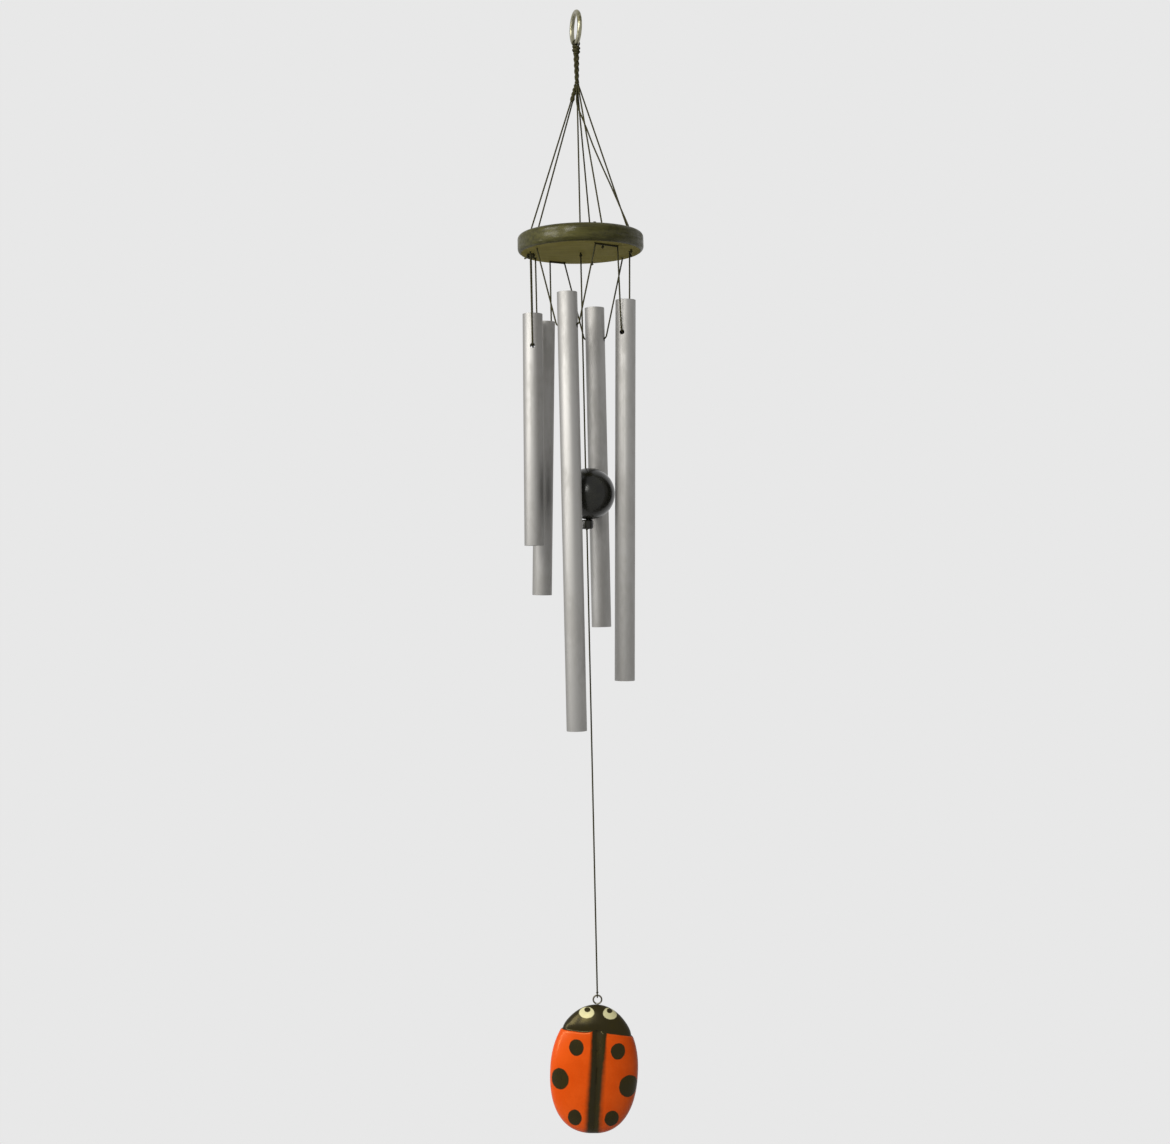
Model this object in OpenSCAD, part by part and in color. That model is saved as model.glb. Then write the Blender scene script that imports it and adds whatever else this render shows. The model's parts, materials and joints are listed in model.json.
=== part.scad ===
// Wind chime: five tubes hung in slings under a turned wooden disc, struck by a ball on
// the middle line, with a carved ladybird below as the wind sail.
// Millimetres, +Z up, origin at the centre of the hanging ring, -Y is the front.

/* [Ring] */
// Outside diameter of the hanging ring
ring_od = 21.2; // [18:0.2:28]
// Thickness of the ring's wire
ring_wire = 2.8; // [2:0.1:3.6]
// Depth of the flat on the inside of the wire
ring_flat = 0.25; // [0.1:0.05:0.4]
// Turn of the ring about the vertical, from edge-on to the front
ring_turn = 15; // [0:1:90]

/* [Cord] */
// Diameter of the waxed cord
cord_d = 1.1; // [0.8:0.1:1.4]
// Diameter of a stop knot in the cord
knot_d = 2.6; // [2.2:0.1:3.2]
// How much the cord swells at a sharp bend, in diameter
bend_swell = 0.12; // [0.06:0.02:0.2]

/* [Neck] */
// Diameter of the plaited neck over its knots
neck_d = 3.3; // [2.8:0.1:4.2]
// Diameter of the neck between its knots
neck_waist = 2.7; // [2:0.1:2.8]
// Length of the plaited neck
neck_len = 19.6; // [14:0.2:30]
// Length taken by one knot of the plait
plait_step = 3.3; // [2.8:0.1:5]
// How much thicker the hitch below the ring is than the neck
hitch_over = 1.3; // [0.8:0.1:2]

/* [Crown] */
// Length of the gather's skirt, from which the crown cords come out
gather_len = 2.4; // [1.8:0.1:4]
// Height from the gather under the neck to the top of the disc
crown_h = 87.2; // [70:0.2:120]
// Distance from the disc's edge to the holes of the crown cords
crown_inset = 7; // [5.5:0.5:12]
// How much further in the hole of the front crown cord stands
front_inset = 4.8; // [1:0.2:6]
// Thickness of the knotted branch that holds the two left cords
branch_d = 1.9; // [1.6:0.1:2.2]
// Length of that branch
branch_len = 6.2; // [4:0.2:9]
// How far the end of that branch stands out to the left
branch_out = 1.2; // [0.6:0.2:2]

/* [Disc] */
// Diameter of the wooden disc
disc_d = 75.5; // [72:0.5:90]
// Thickness of the wooden disc
disc_t = 10.8; // [8:0.2:16]
// Radius of the disc's rounded edges
disc_round = 2.7; // [1:0.1:3.5]

/* [Tubes] */
// Outside diameter of the tubes
tube_od = 12; // [10:0.5:14]
// Wall thickness of the tubes
tube_wall = 1; // [0.6:0.1:1.6]
// Length of the shortest tube, at the left
tube_1_length = 139; // [125:1:160]
// Length of the second tube, at the back left
tube_2_length = 167; // [150:1:190]
// Length of the third tube, at the back
tube_3_length = 196; // [180:1:220]
// Length of the fourth tube, at the right
tube_4_length = 226; // [205:1:245]
// Length of the longest tube, at the front
tube_5_length = 257; // [240:1:280]
// Diameter of the cross hole that the sling passes through
cross_hole_d = 3; // [2.4:0.1:3.6]
// Distance from a tube's top to the middle of its cross hole
cross_hole_drop = 19.6; // [14:0.2:24]

/* [Hanging layout] */
// Compass angle of each tube, from the right, anticlockwise seen from above
tube_angle = [180, 142, 72, -22, -110]; // [-180:1:180]
// Gap to each tube from a ball centred on the middle line
strike_gap = [8.5, 8, 3.4, 6, 3.6]; // [3:0.1:9.5]
// Half of the distance between the two disc holes of each sling
sling_half = [7, 7, 18.6, 10.1, 18.2]; // [7:0.1:20]
// Drop from the disc to the top of each tube
tube_drop = [36.1, 38.2, 29.5, 30.7, 27.5]; // [24:0.1:44]
// Outward lean of each tube as it hangs
tube_lean = [0.8, 2.5, 0, -1.5, 0]; // [-2:0.1:3]

/* [Striker] */
// Diameter of the striker ball
ball_d = 31; // [28:0.5:34]
// How far to the right of its hole the middle of the ball is
ball_side = 1.8; // [0:0.2:2]
// Drop from the disc to the middle of the ball
ball_drop = 144.7; // [120:0.5:165]
// Diameter of the stop bead under the ball
bead_d = 8; // [7:0.2:12]
// Height of the stop bead
bead_h = 5.6; // [5:0.2:8]
// Radius of the stop bead's rounded edges
bead_round = 1.2; // [0.6:0.1:1.6]

/* [Sail] */
// Drop from the stop bead to the middle of the screw eye
sail_drop = 282.3; // [200:0.5:330]
// Outside diameter of the screw eye's ring
eye_od = 6; // [5.6:0.1:8]
// Thickness of the screw eye's wire
eye_wire = 1; // [0.8:0.1:1.2]
// Diameter of the screw eye's shank
shank_d = 1.4; // [1.2:0.1:1.8]
// Length of the screw eye's shank
shank_len = 9; // [6:0.5:14]
// Length of the ladybird
sail_len = 77; // [60:0.5:95]
// Width of the ladybird
sail_w = 52.8; // [42:0.5:66]
// Thickness of the ladybird
sail_t = 20; // [14:0.5:26]
// Fullness of the ladybird's tail, where 2 is an ellipse
tail_full = 2.4; // [2:0.1:3]
// Distance from the top of the ladybird to the carved line behind its head
head_len = 15.8; // [12:0.2:20]
// Depth of the groove between the wing cases
groove_deep = 1.6; // [0.6:0.1:2.4]
// Depth of the carved line behind the head
head_cut = 0.7; // [0.3:0.1:1.2]
// Sideways lean of the ladybird as it hangs
sail_lean = 4; // [-8:0.5:8]
// Turn of the ladybird about its line as it hangs
sail_face = 0; // [-90:1:90]

/* [Fits] */
// Gap between pieces that swing on each other
swing_gap = 0.3; // [0.2:0.05:0.4]
// Gap round the ring's wire inside the hitch, and round the eye's wire inside the loop
wire_gap = 0.2; // [0.15:0.05:0.3]
// Gap all round a cord in a drilled hole
hole_gap = 0.35; // [0.3:0.05:0.5]
// Gap between pieces that are tied or seated together
seat_gap = 0.05; // [0.03:0.01:0.1]

/* [Hidden] */
$fn = 48;
TUBES = 5;
POLE_TURN = [30, 40, 0];
cord_r = cord_d / 2;
knot_r = knot_d / 2;
bend_d = cord_d + bend_swell;
hole_d = cord_d + 2 * hole_gap;
tube_length = [tube_1_length, tube_2_length, tube_3_length, tube_4_length, tube_5_length];

// Levels down the middle line, from the ring's centre
ring_r = (ring_od - ring_wire) / 2;
wire_z = -ring_r;
hitch_loop_r = ring_wire / 2 + wire_gap + cord_r;
hitch_d = neck_d + hitch_over;
hitch_z = wire_z - hitch_loop_r - hitch_d / 2;
neck_top = hitch_z - sqrt(pow(hitch_d / 2, 2) - pow(neck_d / 2, 2));
neck_bottom = neck_top - neck_len;
strand_ring = cord_d + seat_gap;
gather_r = strand_ring + cord_r;
gather_z = neck_bottom - swing_gap - gather_r;
gather_face = gather_z - gather_len;
disc_top = gather_z - crown_h;
disc_bottom = disc_top - disc_t;
exit_z = disc_bottom - swing_gap - bend_d / 2;
under_knot_z = disc_bottom - seat_gap - knot_r;
centre_knot_z = disc_bottom - swing_gap - knot_r;
ball_z = disc_bottom - ball_drop;
bead_top = ball_z - ball_d / 2 - seat_gap;
bead_bottom = bead_top - bead_h;
stop_knot_z = bead_bottom + cord_r;
sail_pivot_z = stop_knot_z - knot_r - swing_gap - bend_d / 2;
eye_z = bead_bottom - sail_drop;
eye_r = (eye_od - eye_wire) / 2;
loop_z = eye_z + eye_r;
loop_r = eye_wire / 2 + wire_gap + cord_r;
eye_knot_z = loop_z + loop_r + knot_r;
sail_top = -eye_od / 2 - seat_gap;

// Tubes and their slings, in a frame with x outwards and y along the cross hole
leg_half = tube_od / 2 + cord_r + hole_gap;
hole_below_cord = (cross_hole_d - cord_d) / 2 - swing_gap;
function hang_r(k) = (ball_d + tube_od) / 2 + strike_gap[k];
function exit_half(k) = max(sling_half[k], leg_half);
function pivot_z(k) = disc_bottom - tube_drop[k] - cross_hole_drop + hole_below_cord;
function turned(p, a) = [p.x * cos(a) - p.y * sin(a), p.x * sin(a) + p.y * cos(a)];
function sling_hole(k, side) = turned([hang_r(k), side * exit_half(k)], tube_angle[k]);

// Crown cords: the strands' places under the gather, and the angles of their holes in the disc
FIRST_STRAND = -72;
STRAND_STEP = 60;
LEFT = 180;
BACK = 77;
FRONT = -60;
RIGHT_FRONT = -12;
RIGHT_BACK = 12;
crown_hole_r = disc_d / 2 - crown_inset;
function crown_hole(angle) = turned([crown_hole_r - (angle == FRONT ? front_inset : 0), 0], angle);
branch_top = [-(cord_r + branch_d / 2 + seat_gap), 0, gather_face];
branch_end = branch_top + [-branch_out, 0, -branch_len];
flare_d = branch_d + cord_r;

// Route of the slack cord at the front right, below its start and above its hole
slack_route = [[0.9, -1.2, -46], [5.5, -2, -62], [20, -6, -95]];

// Holes that the cords pass through in the disc
shared_hole = sling_hole(1, 1);
crown_holes = [for (a = [LEFT, BACK, FRONT, RIGHT_FRONT, RIGHT_BACK]) crown_hole(a)];
sling_holes = [for (k = [0 : TUBES - 1], side = [-1, 1]) sling_hole(k, side)];
disc_holes = concat([[0, 0]], crown_holes, sling_holes);

// Where a slanting cord from p to q starts, so that its square end clears a level face at p
function tied_on(p, q, d) =
    let (way = (q - p) / norm(q - p))
    p + way * (seat_gap + d / 2 * norm([way.x, way.y])) / abs(way.z);

// A straight stretch of cord from p to q
module stretch(p, q, d = cord_d) {
    run = q - p;
    translate(p)
        rotate([0, acos(run.z / norm(run)), atan2(run.y, run.x)])
            cylinder(d = d, h = norm(run));
}

// A bend or a knot: a ball turned so that its poles stand clear of the cord
module knob(p, d) {
    translate(p) rotate(POLE_TURN) sphere(d = d);
}

// A cord through a list of points, with a round bend at each one between its ends
module cord(points) {
    for (i = [1 : len(points) - 1]) stretch(points[i - 1], points[i]);
    for (i = [1 : len(points) - 2]) knob(points[i], bend_d);
}

// A ring of round wire about Z
module wire_ring(r, d) {
    rotate_extrude() translate([r, 0]) circle(d = d);
}

// A round block with rounded edges, standing on z = 0
module rounded_puck(d, h, r) {
    rotate_extrude() {
        square([d / 2 - r, h]);
        translate([0, r]) square([d / 2, h - 2 * r]);
        for (z = [r, h - r]) translate([d / 2 - r, z]) circle(r = r);
    }
}

// Turns what is drawn with its axis along Z to face along the ring's axis
module along_ring_axis() {
    rotate([0, 0, ring_turn]) rotate([0, 90, 0]) children();
}

module hanging_ring() {
    bore_r = ring_od / 2 - ring_wire + ring_flat;
    color("silver") along_ring_axis() difference() {
        wire_ring(ring_r, ring_wire);
        cylinder(r = bore_r, h = 2 * ring_wire, center = true);
    }
}

module ring_hitch() {
    color("darkolivegreen") {
        rotate([0, 0, ring_turn])
            for (side = [-1, 1])
                translate([0, side * (cord_r + seat_gap), wire_z])
                    rotate([90, 0, 0]) wire_ring(hitch_loop_r, cord_d);
        difference() {
            translate([0, 0, hitch_z]) sphere(d = hitch_d);
            translate([-hitch_d, -hitch_d, neck_top - 2 * hitch_d]) cube(2 * hitch_d);
            translate([0, 0, wire_z])
                rotate([0, 0, ring_turn]) rotate([90, 0, 0])
                    cylinder(r = hitch_loop_r, h = 2 * hitch_d, center = true);
        }
    }
}

module neck_plait() {
    knots = floor(neck_len / plait_step);
    step = (neck_len - neck_d) / (knots - 1);
    color("darkolivegreen") {
        translate([0, 0, neck_bottom]) cylinder(d = neck_waist, h = neck_len);
        for (i = [0 : knots - 1])
            translate([0, 0, neck_bottom + neck_d / 2 + i * step]) sphere(d = neck_d);
    }
}

module gather_knot() {
    color("darkolivegreen") {
        translate([0, 0, gather_z]) sphere(r = gather_r);
        translate([0, 0, gather_face]) cylinder(r = gather_r, h = gather_z - gather_face);
    }
}

module branch_knot() {
    color("darkolivegreen") {
        stretch(tied_on(branch_top, branch_end, branch_d), branch_end, branch_d);
        knob(branch_end, flare_d);
    }
}

// A crown cord: from where it is tied on, along its route to the mouth of a hole, down that
// hole and, where knotted, to a stop knot under the disc
module crown_cord(start, hole, knotted = true, route = []) {
    mouth = [hole.x, hole.y, disc_top];
    foot = [hole.x, hole.y, knotted ? under_knot_z : disc_bottom];
    way = concat(route, [mouth]);
    color("darkolivegreen") {
        cord(concat([tied_on(start, way[0], cord_d)], way));
        knob(mouth, bend_d);
        union() {
            stretch(mouth, foot);
            if (knotted) knob(foot, knot_d);
        }
    }
}

function gather_start(i) =
    let (p = turned([strand_ring, 0], FIRST_STRAND + i * STRAND_STEP)) [p.x, p.y, gather_face];
function branch_start(side) = branch_end + [0, side * (cord_r + seat_gap), -flare_d / 2];

module crown_cord_left() {
    crown_cord(branch_start(-1), crown_hole(LEFT));
}

module crown_cord_back_left() {
    crown_cord(branch_start(1), shared_hole, false);
}

module crown_cord_back() {
    crown_cord(gather_start(3), crown_hole(BACK));
}

module crown_cord_front() {
    crown_cord(gather_start(0), crown_hole(FRONT));
}

module crown_cord_right_front() {
    crown_cord(gather_start(1), crown_hole(RIGHT_FRONT), true, slack_route);
}

module crown_cord_right_back() {
    crown_cord(gather_start(2), crown_hole(RIGHT_BACK));
}

module centre_cord() {
    color("darkolivegreen")
        stretch([0, 0, gather_face - seat_gap], [0, 0, disc_bottom]);
}

module disc() {
    color("saddlebrown") difference() {
        translate([0, 0, disc_bottom]) rounded_puck(disc_d, disc_t, disc_round);
        for (p = disc_holes)
            translate([p.x, p.y, disc_bottom - 1]) cylinder(d = hole_d, h = disc_t + 2);
    }
}

// The still ends of the slings: up through their holes to a stop knot on the disc
module anchor_knots() {
    color("darkolivegreen")
        for (p = sling_holes)
            if (p != shared_hole) {
                translate([p.x, p.y, disc_bottom]) cylinder(d = cord_d, h = disc_t + knot_r);
                knob([p.x, p.y, disc_top + knot_r + seat_gap], knot_d);
            }
}

// A stitch of cord along the underside of the disc, between the holes of two slings
module run_cord(from, to) {
    p = [from.x, from.y, disc_bottom - seat_gap - cord_r];
    q = [to.x, to.y, p.z];
    clear = (q - p) / norm(q - p) * (bend_d / 2 + 2 * swing_gap);
    color("darkolivegreen") stretch(p + clear, q - clear);
}

module run_cord_front() {
    run_cord(sling_hole(4, 1), sling_hole(3, -1));
}

module run_cord_back() {
    run_cord(sling_hole(1, -1), sling_hole(2, 1));
}

// Places what is drawn at the middle of a tube's cross hole
module at_pivot(k) {
    rotate([0, 0, tube_angle[k]]) translate([hang_r(k), 0, pivot_z(k)]) children();
}

// One sling: two legs from the disc's holes and the stretch through the tube
module sling(k) {
    top = exit_z - pivot_z(k);
    color("darkolivegreen") at_pivot(k) {
        cord([[0, -exit_half(k), top], [0, -leg_half, 0], [0, leg_half, 0], [0, exit_half(k), top]]);
        for (side = [-1, 1]) knob([0, side * exit_half(k), top], bend_d);
    }
}

// One tube, hung on its sling by the cross hole
module tube(k) {
    top = cross_hole_drop - hole_below_cord;
    color("gainsboro") at_pivot(k) rotate([0, -tube_lean[k], 0]) difference() {
        translate([0, 0, top - tube_length[k]]) cylinder(d = tube_od, h = tube_length[k]);
        translate([0, 0, top - tube_length[k] - 1])
            cylinder(d = tube_od - 2 * tube_wall, h = tube_length[k] + 2);
        translate([0, 0, -hole_below_cord]) rotate([90, 0, 0])
            cylinder(d = cross_hole_d, h = tube_od + 2, center = true);
    }
}

module centre_knot() {
    color("darkolivegreen") knob([0, 0, centre_knot_z], knot_d);
}

module striker_cord() {
    top = centre_knot_z - knot_r - swing_gap - bend_d / 2;
    foot = stop_knot_z + knot_r + seat_gap;
    color("darkolivegreen") {
        stretch([0, 0, top], [0, 0, foot]);
        knob([0, 0, top], bend_d);
    }
}

module striker_ball() {
    color("black") difference() {
        translate([ball_side, 0, ball_z]) sphere(d = ball_d);
        translate([0, 0, ball_z]) cylinder(d = hole_d, h = ball_d + 2, center = true);
    }
}

module stop_bead() {
    pocket_d = knot_d + 2 * hole_gap;
    color("black") translate([0, 0, bead_bottom]) difference() {
        rounded_puck(bead_d, bead_h, bead_round);
        translate([0, 0, -1]) cylinder(d = hole_d, h = bead_h + 2);
        translate([0, 0, -1]) cylinder(d = pocket_d, h = 1 + cord_r + knot_r + seat_gap);
    }
}

module stop_knot() {
    color("darkolivegreen") knob([0, 0, stop_knot_z], knot_d);
}

module sail_cord() {
    foot = eye_knot_z + knot_r + swing_gap;
    color("darkolivegreen") {
        stretch([0, 0, sail_pivot_z], [0, 0, foot]);
        knob([0, 0, sail_pivot_z], bend_d);
    }
}

module eye_loop() {
    color("darkolivegreen") {
        translate([0, 0, loop_z]) rotate([0, 90, sail_face]) wire_ring(loop_r, cord_d);
        knob([0, 0, eye_knot_z], knot_d);
    }
}

// Places what is drawn about the middle of the screw eye, leaning and turned with the ladybird
module at_eye() {
    translate([0, 0, eye_z]) rotate([0, sail_lean, sail_face]) children();
}

module screw_eye() {
    color("dimgray") at_eye() {
        rotate([90, 0, 0]) wire_ring(eye_r, eye_wire);
        translate([0, 0, -eye_r - shank_len]) cylinder(d = shank_d, h = shank_len);
    }
}

// Ladybird: cross sections down its length, with t from -1 at the head to 1 at the tail
HEAD_STEPS = 6;
TAIL_STEPS = 14;
AROUND = 32;
GROOVE_SHARE = 0.25;
head_t = 2 * head_len / sail_len - 1;
head_lip = 2 * head_cut / sail_len;
function fullness(t) = t < 0 ? 2 : tail_full;
function taper(t) = pow(1 - pow(abs(t), fullness(t)), 1 / fullness(t));
head_stations = [for (i = [1 : HEAD_STEPS]) -1 + (head_t - head_lip + 1) * (1 - cos(90 * i / HEAD_STEPS))];
tail_stations = [for (i = [0 : TAIL_STEPS - 1])
    head_t + head_lip + (1 - head_t - head_lip) * sin(90 * i / TAIL_STEPS)];
stations = concat(head_stations, [head_t], tail_stations);
function carved(t) = t == head_t ? head_cut : 0;
function groove(t, a, half_t) = t > head_t && a % 180 == 90 ? min(groove_deep, GROOVE_SHARE * half_t) : 0;
function station_point(t, a) =
    let (half_w = sail_w / 2 * taper(t) - carved(t), half_t = sail_t / 2 * taper(t) - carved(t))
    [half_w * cos(a), (half_t - groove(t, a, half_t)) * sin(a), sail_top - sail_len * (1 + t) / 2];

module ladybird_form() {
    last = len(stations) - 1;
    rings = [for (t = stations, j = [0 : AROUND - 1]) station_point(t, 360 * j / AROUND)];
    points = concat([[0, 0, sail_top]], rings, [[0, 0, sail_top - sail_len]]);
    function at(i, j) = 1 + i * AROUND + j % AROUND;
    head = [for (j = [0 : AROUND - 1]) [0, at(0, j + 1), at(0, j)]];
    sides = [for (i = [0 : last - 1], j = [0 : AROUND - 1], half = [0, 1])
        half == 0 ? [at(i, j), at(i, j + 1), at(i + 1, j)]
                  : [at(i, j + 1), at(i + 1, j + 1), at(i + 1, j)]];
    tail = [for (j = [0 : AROUND - 1]) [len(points) - 1, at(last, j), at(last, j + 1)]];
    polyhedron(points, concat(head, sides, tail));
}

module ladybird() {
    color("orangered") at_eye() difference() {
        ladybird_form();
        translate([0, 0, -eye_r - shank_len - seat_gap])
            cylinder(d = shank_d + 2 * seat_gap, h = shank_len + 1);
    }
}

hanging_ring();
ring_hitch();
neck_plait();
gather_knot();
branch_knot();
crown_cord_left();
crown_cord_back_left();
crown_cord_back();
crown_cord_front();
crown_cord_right_front();
crown_cord_right_back();
centre_cord();
disc();
anchor_knots();
run_cord_front();
run_cord_back();
sling(0);  // sling_1
sling(1);  // sling_2
sling(2);  // sling_3
sling(3);  // sling_4
sling(4);  // sling_5
tube(0);  // tube_1
tube(1);  // tube_2
tube(2);  // tube_3
tube(3);  // tube_4
tube(4);  // tube_5
centre_knot();
striker_cord();
striker_ball();
stop_bead();
stop_knot();
sail_cord();
eye_loop();
screw_eye();
ladybird();
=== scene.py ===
"""Dresses a packed wind chime: its cords and knots, metal tubes, lacquered wood and painted ladybird.

Lengths are in millimetres, as in the part's source, and meshes are written in metres.
"""

import json
import logging
import math
from dataclasses import asdict, dataclass, field
from enum import Enum
from typing import Callable, Optional, Sequence, Union

import bmesh
import bpy
from mathutils import Euler, Matrix, Vector

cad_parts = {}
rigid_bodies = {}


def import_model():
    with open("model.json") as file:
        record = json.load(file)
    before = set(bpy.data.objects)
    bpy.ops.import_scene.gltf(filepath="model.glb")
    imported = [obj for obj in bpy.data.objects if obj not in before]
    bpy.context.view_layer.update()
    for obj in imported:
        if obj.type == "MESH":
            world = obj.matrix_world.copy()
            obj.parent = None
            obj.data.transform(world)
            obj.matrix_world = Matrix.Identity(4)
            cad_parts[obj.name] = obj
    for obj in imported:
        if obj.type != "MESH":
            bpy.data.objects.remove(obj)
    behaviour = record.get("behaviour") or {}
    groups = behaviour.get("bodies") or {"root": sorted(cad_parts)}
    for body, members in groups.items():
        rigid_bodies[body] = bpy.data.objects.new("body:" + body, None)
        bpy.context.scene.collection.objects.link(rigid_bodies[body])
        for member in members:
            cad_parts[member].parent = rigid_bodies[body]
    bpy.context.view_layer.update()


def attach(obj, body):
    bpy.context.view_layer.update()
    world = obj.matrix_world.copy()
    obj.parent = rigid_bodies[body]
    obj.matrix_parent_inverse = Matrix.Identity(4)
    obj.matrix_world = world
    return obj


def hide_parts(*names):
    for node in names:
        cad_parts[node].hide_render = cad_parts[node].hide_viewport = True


LOG = logging.getLogger("wind_chime")
MM = 0.001
RING_TURN = 15.0
UNDER_DISC = -135.762
STOP_KNOT = -300.152
BRANCH_FOOT = -43.6
LADYBIRD_TOP = -3.05
SHARP_EDGE = 40.0
DRILL_SIDES = 32
DRILL_PAST = 4.0
ARC_ROOM = 0.48
ARC_STEPS = 10
ARC_LEAST = 6
NUMBER = "NodeSocketFloat"
VECTOR = "NodeSocketVector"
Form = bmesh.types.BMesh
Piece = bpy.types.Object
Point = Sequence[float]
Socket = bpy.types.NodeSocket
Sockets = bpy.types.NodeOutputs
Value = Union[float, Point, Socket]


class Lay(Enum):
    """How a cord lies."""

    TAUT = "taut"
    LOOSE = "loose"
    HANGING = "hanging"


class FarEnd(Enum):
    """What a cord's far end goes into."""

    KNOT = "knot"
    OBJECT = "object"


class Slot(Enum):
    """The record's material slots."""

    RING = "ring_metal"
    CORD = "cord"
    DISC = "disc_wood"
    TUBE = "tube_aluminium"
    STRIKER = "striker_lacquer"
    EYE = "eye_metal"
    SAIL = "sail_paint"


class Wiring:
    """Adds nodes to one node tree and joins them."""

    def __init__(self, tree: bpy.types.NodeTree) -> None:
        """Keeps the tree that the nodes go into."""
        self.tree = tree

    def node(self, kind: str, **settings: object) -> bpy.types.Node:
        """Adds a node.

        Args:
            kind: Blender's name of the node type.
            settings: Properties to set on the node.

        Returns:
            The new node.
        """
        made = self.tree.nodes.new(kind)
        for name, value in settings.items():
            setattr(made, name, value)
        return made

    def fill(self, node: bpy.types.Node, inputs: dict[Union[int, str], Value]) -> bpy.types.Node:
        """Feeds a node's inputs.

        Args:
            node: The node.
            inputs: A socket to link, a number, a vector or a colour for each input, by number or name.

        Returns:
            The same node.
        """
        for key, value in inputs.items():
            socket = node.inputs[key]
            if isinstance(value, Socket):
                self.tree.links.new(value, socket)
            elif isinstance(value, tuple) and len(value) == 3 and len(socket.default_value) == 4:
                socket.default_value = (*value, 1.0)
            else:
                socket.default_value = value
        return node

    def math(self, operation: str, first: Value, second: Value = 0.0, clamp: bool = False) -> Socket:
        """Adds a Math node.

        Args:
            operation: Its operation.
            first: First input.
            second: Second input, where the operation has one.
            clamp: Whether the result is kept from 0 to 1.

        Returns:
            The result's socket.
        """
        made = self.node("ShaderNodeMath", operation=operation, use_clamp=clamp)
        return self.fill(made, {0: first, 1: second}).outputs[0]

    def plus(self, first: Value, second: Value) -> Socket:
        """Returns a sum."""
        return self.math("ADD", first, second)

    def minus(self, first: Value, second: Value) -> Socket:
        """Returns a difference."""
        return self.math("SUBTRACT", first, second)

    def times(self, first: Value, second: Value) -> Socket:
        """Returns a product."""
        return self.math("MULTIPLY", first, second)

    def both(self, first: Value, second: Value, share: float) -> Socket:
        """Returns two values together, with the second one's share."""
        return self.plus(self.times(first, 1 - share), self.times(second, share))

    def most(self, masks: Sequence[Socket]) -> Socket:
        """Joins masks.

        Args:
            masks: One or more masks.

        Returns:
            The highest of them at each place.
        """
        highest = masks[0]
        for mask in masks[1:]:
            highest = self.math("MAXIMUM", highest, mask)
        return highest

    def mix(self, share: Value, first: Value, second: Value) -> Socket:
        """Adds a colour mix.

        Args:
            share: How much of the second colour there is.
            first: Colour at 0.
            second: Colour at 1.

        Returns:
            The mixed colour's socket.
        """
        made = self.node("ShaderNodeMix", data_type="RGBA")
        return self.fill(made, {0: share, 6: first, 7: second}).outputs[2]

    def ease(self, value: Value, start: Value, end: Value, low: Value = 0.0, high: Value = 1.0) -> Socket:
        """Adds a smooth step.

        Args:
            value: What is mapped.
            start: Value where the step starts.
            end: Value where it ends.
            low: Result at the start.
            high: Result at the end.

        Returns:
            The result's socket.
        """
        made = self.node("ShaderNodeMapRange", interpolation_type="SMOOTHSTEP")
        return self.fill(made, dict(enumerate((value, start, end, low, high)))).outputs[0]

    def scaled(self, vector: Socket, scale: Point) -> Socket:
        """Returns coordinates stretched by a factor along each axis."""
        return self.fill(self.node("ShaderNodeMapping"), {"Vector": vector, "Scale": scale}).outputs[0]

    def noise(self, vector: Socket, scale: Value, detail: float = 3.0, rough: float = 0.55) -> Socket:
        """Adds a noise.

        Args:
            vector: Coordinates.
            scale: Its scale.
            detail: Number of octaves.
            rough: How strong the fine octaves are.

        Returns:
            The noise's socket, about 0.5 on average.
        """
        inputs = {"Vector": vector, "Scale": scale, "Detail": detail, "Roughness": rough}
        return self.fill(self.node("ShaderNodeTexNoise"), inputs).outputs[0]

    def place(self) -> Socket:
        """Returns Object coordinates."""
        return self.node("ShaderNodeTexCoord").outputs["Object"]

    def apart(self, vector: Socket) -> Sockets:
        """Returns a vector's X, Y and Z."""
        return self.fill(self.node("ShaderNodeSeparateXYZ"), {0: vector}).outputs

    def off_axis(self, place: Socket) -> Socket:
        """Returns how far a place is from the Z axis."""
        length = self.node("ShaderNodeVectorMath", operation="LENGTH")
        return self.fill(length, {0: self.scaled(place, (1.0, 1.0, 0.0))}).outputs["Value"]

    def group(self, tree: bpy.types.NodeTree, **values: Value) -> Socket:
        """Places a shared group.

        Args:
            tree: The group's tree.
            values: Its inputs by name, with spaces written as underscores.

        Returns:
            The group's first output.
        """
        inputs = {name.replace("_", " ").capitalize(): value for name, value in values.items()}
        return self.fill(self.node("ShaderNodeGroup", node_tree=tree), inputs).outputs[0]

    def bump(self, height: Socket, strength: float, depth: float) -> Socket:
        """Adds a bump.

        Args:
            height: Height from 0 to 1.
            strength: Share of the effect.
            depth: Height of 1, in millimetres.

        Returns:
            The normal's socket.
        """
        inputs = {"Strength": strength, "Distance": depth * MM, "Height": height}
        return self.fill(self.node("ShaderNodeBump"), inputs).outputs[0]


Wire = Callable[[Wiring, Sockets], Socket]


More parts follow.
